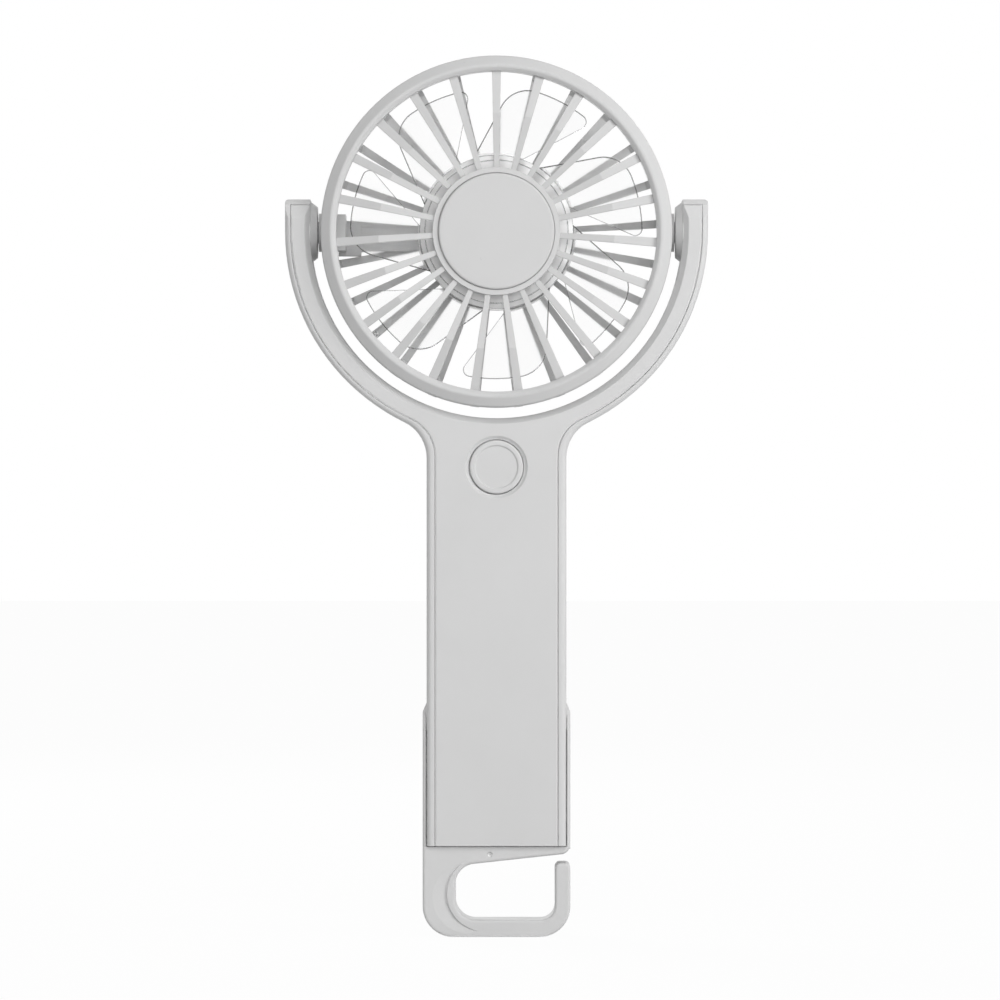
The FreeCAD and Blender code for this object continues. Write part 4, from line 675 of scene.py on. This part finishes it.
def recess_blade(centre, along):
    """One tapered blade of the cross, as a cutter."""
    shape = bmesh.new()
    made = bmesh.ops.create_cube(shape, size=1.0)["verts"]
    bmesh.ops.scale(shape, vec=Vector(RECESS_SIZE) * MM, verts=made)
    inner = [vert for vert in made if vert.co.y < 0]
    bmesh.ops.scale(shape, vec=RECESS_TAPER, verts=inner)
    bmesh.ops.rotate(shape, verts=made, matrix=Matrix.Rotation(along, 3, "Y"), cent=(0, 0, 0))
    middle = Vector((0, RECESS_MIDDLE, 0))
    bmesh.ops.translate(shape, vec=centre + middle * MM, verts=made)
    mesh = bpy.data.meshes.new("recess_blade")
    shape.to_mesh(mesh)
    shape.free()
    blade = bpy.data.objects.new("recess_blade", mesh)
    bpy.context.scene.collection.objects.link(blade)
    return blade


def cut_recesses(piece, cutters):
    """Cuts the blades out of a piece and removes them."""
    for cutter in cutters:
        recess = piece.modifiers.new("recess", "BOOLEAN")
        recess.operation = "DIFFERENCE"
        recess.solver = "EXACT"
        recess.object = cutter
    ready = piece.evaluated_get(bpy.context.evaluated_depsgraph_get())
    mesh = bpy.data.meshes.new_from_object(ready)
    piece.modifiers.clear()
    piece.data = mesh
    for cutter in cutters:
        bpy.data.objects.remove(cutter)


print("recess", RECESS_SIZE[0], "mm across")

# %% Four screws
SCREW_X = 9.5
UPPER_SCREW_Z = 31.2
LOWER_SCREW_Z = -54.0
TURN_OF_EACH = 23

screw_places = [(x, z) for x in (-SCREW_X, SCREW_X) for z in (UPPER_SCREW_Z, LOWER_SCREW_Z)]
for number, (x, z) in enumerate(screw_places, start=1):
    centre = Vector((x, 0, z)) * MM
    shape = bmesh.new()
    screw_body(shape, centre)
    screw = new_piece(f"shell_screw_{number}", shape, "handle", shaft_steel, ["shell_screws"])
    turn = math.radians(TURN_OF_EACH * number)
    cut_recesses(screw, [recess_blade(centre, turn), recess_blade(centre, turn + math.pi / 2)])

# %% [markdown]
# ## Wires
# Each wire is a smooth curve with a round section. Its control points are the corners of its route,
# with one more beside a corner where the bend has to stay tight, and the curve rounds them by itself.
# The red and the black wire of a pair lie side by side.

# %% Wire helper
WIRE_RADIUS = 0.4


def wire(name, points, body, finish, node):
    """A soft wire along control points in millimetres, in place of a node."""
    curve = bpy.data.curves.new(name, "CURVE")
    curve.dimensions = "3D"
    curve.bevel_depth = WIRE_RADIUS * MM
    curve.bevel_resolution = 3
    curve.resolution_u = 12
    curve.use_fill_caps = True
    spline = curve.splines.new("NURBS")
    spline.points.add(len(points) - 1)
    for point, place in zip(spline.points, points):
        point.co = (*(value * MM for value in place), 1)
    spline.order_u = 3
    spline.use_endpoint_u = True
    curve.materials.append(finish.material)
    piece = bpy.data.objects.new(name, curve)
    bpy.context.scene.collection.objects.link(piece)
    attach(piece, body)
    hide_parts(node)
    print(name, "through", len(points), "points")


# %% [markdown]
# ## Wire routes
# The battery's wires make a short bridge from the cell's board to the circuit board. The motor's wires
# leave the circuit board, follow the duct in the left arm to the hollow pivot, and go on inside the
# head: back along its wall, and in along the wide spoke to the motor's board.

# %% Route between the boards
BATTERY_WIRES = (-8.0, -6.2)
CELL_JOINT_Z = 1.3
BOARD_JOINT_Z = 8.1
CORNER = 1.2


def battery_route(x):
    low, high, front = CELL_JOINT_Z, BOARD_JOINT_Z, -2.1
    return [
        (x, -0.05, low), (x, -1.1, low), (x, front, low), (x, front, low + CORNER),
        (x, front, high - CORNER), (x, front, high), (x, -1.3, high), (x, -0.55, high),
    ]


print("battery wires climb", round(BOARD_JOINT_Z - CELL_JOINT_Z, 1), "mm")

# %% Route through the fork
FORK_WIRE_X = -5.0
FORK_WIRES_Y = (-0.9, 0.9)
FORK_WIRE_START = 30.1
DUCT_RADIUS = 45.95


def duct_point(degrees, y):
    """A point of the left arm's wire duct; the angle is counted from straight down."""
    angle = math.radians(degrees)
    return (-DUCT_RADIUS * math.sin(angle), y, HEAD_HEIGHT - DUCT_RADIUS * math.cos(angle))


def fork_route(y):
    corner = duct_point(7.3, y)
    arm = [duct_point(angle, y) for angle in (12, 24, 36, 48, 60, 72, 82)]
    turn, end = -45.9, -42.75
    return [
        (FORK_WIRE_X, y, FORK_WIRE_START), (FORK_WIRE_X, y, corner[2] - CORNER), corner, *arm,
        (turn, y, HEAD_HEIGHT - CORNER), (turn, y, HEAD_HEIGHT), (turn + CORNER, y, HEAD_HEIGHT),
        (end, y, HEAD_HEIGHT),
    ]


print("wire duct", DUCT_RADIUS, "mm from the head's axis")

# %% Route inside the head
MOTOR_WIRES = (-0.5, 0.5)
MOTOR_JOINT_X = -10.6


def motor_route(side):
    start, end = -42.5, 7.25
    wall = -36.2 - side
    spoke = 10.3 + side
    board = MOTOR_JOINT_X + side
    return [(x, y, HEAD_HEIGHT) for x, y in (
        (start, side), (wall - CORNER, side), (wall, side), (wall, side + CORNER),
        (wall, spoke - CORNER), (wall, spoke), (wall + CORNER, spoke),
        (board - CORNER, spoke), (board, spoke), (board, spoke - CORNER), (board, end),
    )]


print("motor wires end", -MOTOR_JOINT_X, "mm left of the head's axis")

# %% Six wires
pairs = (
    ("battery", battery_route, BATTERY_WIRES, "handle"),
    ("fork", fork_route, FORK_WIRES_Y, "handle"),
    ("motor", motor_route, MOTOR_WIRES, "head"),
)
for place, route, (red, black), body in pairs:
    wire(f"{place}_red_wire", route(red), body, red_jacket, f"{place}_lead")
    wire(f"{place}_black_wire", route(black), body, black_jacket, f"{place}_lead")

# %% [markdown]
# ## Motor coils
# Enamelled wire is wound round each of the four necks of the stator, one layer on the other. One
# curve follows all the turns: out along the neck, back in the next layer, and so on, with a rounded
# corner at each edge of the iron.

# %% Coil route
COIL_WIRE = 0.34
COIL_PITCH = COIL_WIRE * 1.04
COIL_START = 6.9
COIL_TURNS = 10
COIL_LAYERS = 4
COIL_COUNT = 4
CORE_FRONT, CORE_BACK = -0.8, 4.2
NECK_HALF = 1.5


def coil_ring(layer):
    """One turn of that layer round the neck, as (y, z) points about the neck's middle."""
    above = COIL_WIRE * (layer + 0.55)
    wide = NECK_HALF + above
    deep = (CORE_BACK - CORE_FRONT) / 2 + above
    corner = 0.3 + 0.25 * layer
    return [
        (deep - corner, wide), (deep, wide - corner), (deep, corner - wide),
        (deep - corner, -wide), (corner - deep, -wide), (-deep, corner - wide),
        (-deep, wide - corner), (corner - deep, wide),
    ]


def coil_route(degrees):
    """Control points of one coil, in millimetres, with the neck turned to its place about the axis."""
    middle = (CORE_FRONT + CORE_BACK) / 2
    spin = Matrix.Rotation(math.radians(degrees), 3, "Y")
    route = []
    for layer in range(COIL_LAYERS):
        turns = range(COIL_TURNS) if layer % 2 == 0 else reversed(range(COIL_TURNS))
        for turn in turns:
            out = COIL_START + turn * COIL_PITCH
            route += [Vector((out, middle + y, z)) for y, z in coil_ring(layer)]
    lift = Vector((0, 0, HEAD_HEIGHT))
    return [spin @ point + lift for point in route]


print(COIL_COUNT * COIL_LAYERS * COIL_TURNS, "turns of copper")

# %% Motor coils
def motor_coil(name, degrees, finish):
    """The copper wire of one neck, which rides in the head."""
    curve = bpy.data.curves.new(name, "CURVE")
    curve.dimensions = "3D"
    curve.bevel_depth = COIL_WIRE * MM / 2
    curve.bevel_resolution = 1
    curve.resolution_u = 2
    curve.use_fill_caps = True
    spline = curve.splines.new("NURBS")
    points = coil_route(degrees)
    spline.points.add(len(points) - 1)
    for point, place in zip(spline.points, points):
        point.co = (*(place * MM), 1)
    spline.order_u = 3
    spline.use_endpoint_u = True
    curve.materials.append(finish.material)
    coil = bpy.data.objects.new(name, curve)
    bpy.context.scene.collection.objects.link(coil)
    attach(coil, "head")
    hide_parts("stator_windings")
    print(name, "at", degrees, "degrees")


copper = enamelled_copper()
for number in range(COIL_COUNT):
    motor_coil(f"motor_coil_{number + 1}", 360 // COIL_COUNT * number, copper)

# %% [markdown]
# ## Foam pad
# A strip of open foam keeps the cell from rattling. It is squeezed flat between the cell and the back
# wall, so only its edges can swell out.

# %% Foam pad
PAD_INSET = 0.3
PAD_SWELL = 0.25
PAD_CUTS = 5
EDGE_TOLERANCE = 0.01

low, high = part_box("battery_pad")
inset = Vector((PAD_INSET, 0, PAD_INSET))
pad_shape = bmesh.new()
block(pad_shape, low / MM + inset, high / MM - inset)
bmesh.ops.subdivide_edges(pad_shape, edges=pad_shape.edges, cuts=PAD_CUTS, use_grid_fill=True)
middle = (low + high) / 2
for vert in pad_shape.verts:
    swell = 1 - ((vert.co.y - middle.y) / (high.y - low.y) * 2) ** 2
    for axis in (0, 2):
        side = vert.co[axis] - middle[axis]
        edge = (high - low)[axis] / 2 - PAD_INSET * MM
        if abs(abs(side) - edge) < EDGE_TOLERANCE * MM:
            vert.co[axis] += math.copysign(PAD_SWELL * MM * swell, side)
pad = new_piece("cell_foam", pad_shape, "handle", foam(), ["battery_pad"])

# %% [markdown]
# ## Charge contacts
# The tongue in the charge socket carries a row of gold contacts on each face, half a millimetre
# apart.

# %% Charge contacts
CONTACT_COUNT = 12
CONTACT_PITCH = 0.5
CONTACT_WIDTH = 0.26
CONTACT_LIFT = 0.03
CONTACT_ROUND = 0.02
FROM_ROOT = 1.6
FROM_TIP = 0.35

low, high = (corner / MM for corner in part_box("charge_tongue"))
centre_z = (low.z + high.z) / 2
contacts = bmesh.new()
for face_y in (low.y, high.y):
    for number in range(CONTACT_COUNT):
        z = centre_z + (number - (CONTACT_COUNT - 1) / 2) * CONTACT_PITCH
        block(
            contacts,
            (low.x + FROM_ROOT, face_y - CONTACT_LIFT, z - CONTACT_WIDTH / 2),
            (high.x - FROM_TIP, face_y + CONTACT_LIFT, z + CONTACT_WIDTH / 2),
            CONTACT_ROUND,
        )
new_piece("charge_contacts", contacts, "handle", gold_plate())

# %% [markdown]
# ## Bent legs
# The control chip and the switch are soldered to the circuit board by legs of tinned sheet metal. A
# leg has the same outline all through, so that outline is drawn once from the side and pushed across
# by the leg's width.

# %% Bent leg helper
BOARD_FRONT = -0.5
LEG_METAL = 0.2
TOWARDS_FRONT = Vector((0, -1, 0))


def bent_leg(shape, foot, outwards, rise, width):
    """A leg out of a piece's side and down to the board; the foot is where that side meets the board."""
    outline = [
        (-0.05, rise), (0.3, rise), (0.5, 0), (1.0, 0), (1.0, LEG_METAL),
        (0.62, LEG_METAL), (0.42, rise + LEG_METAL), (-0.05, rise + LEG_METAL),
    ]
    across = outwards.cross(TOWARDS_FRONT) * width
    corner = foot - across / 2
    places = [corner + outwards * out + TOWARDS_FRONT * height for out, height in outline]
    side = shape.faces.new([shape.verts.new(place * MM) for place in places])
    made = bmesh.ops.extrude_face_region(shape, geom=[side])["geom"]
    far_side = [part for part in made if isinstance(part, bmesh.types.BMVert)]
    bmesh.ops.translate(shape, vec=across * MM, verts=far_side)


print("legs of", LEG_METAL, "mm metal stand on the board at", BOARD_FRONT, "mm")

# %% Legs of chip and switch
CHIP_X = -6.5
CHIP_SIDES = ((14.5, Vector((0, 0, 1))), (10.5, Vector((0, 0, -1))))
CHIP_LEG_PITCH = 1.27
CHIP_LEGS_PER_SIDE = 4
SWITCH_LEG_OFFSET = 2.25

legs = bmesh.new()
for number in range(CHIP_LEGS_PER_SIDE):
    x = CHIP_X + (number - (CHIP_LEGS_PER_SIDE - 1) / 2) * CHIP_LEG_PITCH
    for side_z, outwards in CHIP_SIDES:
        bent_leg(legs, Vector((x, BOARD_FRONT, side_z)), outwards, rise=0.65, width=0.42)
low, high = (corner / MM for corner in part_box("tact_switch"))
for offset in (-SWITCH_LEG_OFFSET, SWITCH_LEG_OFFSET):
    z = (low.z + high.z) / 2 + offset
    for x, outwards in ((low.x, Vector((-1, 0, 0))), (high.x, Vector((1, 0, 0)))):
        bent_leg(legs, Vector((x, BOARD_FRONT, z)), outwards, rise=0.3, width=0.7)
new_piece("board_legs", legs, "handle", tin)

# %% [markdown]
# ## Tin ends
# Capacitors and the coil have no legs. Their two ends are dipped in tin and sit flat on the board, so
# each end is a thin cap that stands just proud of the piece on every side but the board's.

# %% Tin ends
CAP_SKIN = 0.02
CAP_ROUND = 0.05
CAPACITORS_Z = (10.5, 8.5)


def tin_ends(shape, x, z, length, width, depth, reach):
    """Both ends of a piece that lies along X, with its middle at x and z."""
    for side in (-1, 1):
        outer = x + side * (length / 2 + CAP_SKIN)
        inner = outer - side * reach
        low = (min(inner, outer), BOARD_FRONT - depth - CAP_SKIN, z - width / 2 - CAP_SKIN)
        high = (max(inner, outer), BOARD_FRONT, z + width / 2 + CAP_SKIN)
        block(shape, low, high, CAP_ROUND)


ends = bmesh.new()
for z in CAPACITORS_Z:
    tin_ends(ends, x=-1.2, z=z, length=1.6, width=0.8, depth=0.8, reach=0.32)
tin_ends(ends, x=3.0, z=10.5, length=4.0, width=2.6, depth=0.5, reach=0.6)
new_piece("chip_ends", ends, "handle", tin)

# %% [markdown]
# ## Solder
# Each wire ends on a board in a drop of solder, which spreads at its foot and climbs the wire. The
# drop's outline is spun round the line on which it stands.

# %% Solder
BOARD_BACK = 0.5
CELL_BOARD_FRONT = 0
MOTOR_BOARD_BACK = 7.2
FORK_JOINT_Z = 30.4


def solder_drop(shape, x, z, board_y, towards, foot, height):
    """A drop of solder on a board's face, which looks towards -1, the front, or 1, the back."""
    outline = [
        (0, -0.01), (foot, -0.01), (foot * 0.75, height * 0.3),
        (WIRE_RADIUS + 0.03, height), (0, height + 0.05),
    ]
    points = [(radius, board_y + towards * rise) for radius, rise in outline]
    turn_profile(shape, points, Vector((x, 0, z)) * MM, steps=20)


joints = bmesh.new()
for x in BATTERY_WIRES:
    solder_drop(joints, x, BOARD_JOINT_Z, BOARD_FRONT, -1, foot=0.8, height=0.85)
    solder_drop(joints, x, CELL_JOINT_Z, CELL_BOARD_FRONT, -1, foot=0.75, height=0.85)
for board_y, towards in ((BOARD_FRONT, -1), (BOARD_BACK, 1)):
    solder_drop(joints, FORK_WIRE_X, FORK_JOINT_Z, board_y, towards, foot=1.0, height=0.95)
new_piece("board_solder", joints, "handle", tin)

motor_joints = bmesh.new()
for side in MOTOR_WIRES:
    x = MOTOR_JOINT_X + side
    solder_drop(motor_joints, x, HEAD_HEIGHT, MOTOR_BOARD_BACK, 1, foot=0.48, height=0.6)
new_piece("motor_solder", motor_joints, "head", tin)

# %% [markdown]
# ## Sizes
# Finishes and small pieces must not make the fan larger. Two corners of the bare solids and the same
# two of the finished fan are gathered side by side.

# %% Sizes, then finish
boxes = {"solids": solid_box, "dressed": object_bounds()}
print("compared:", " and ".join(boxes))
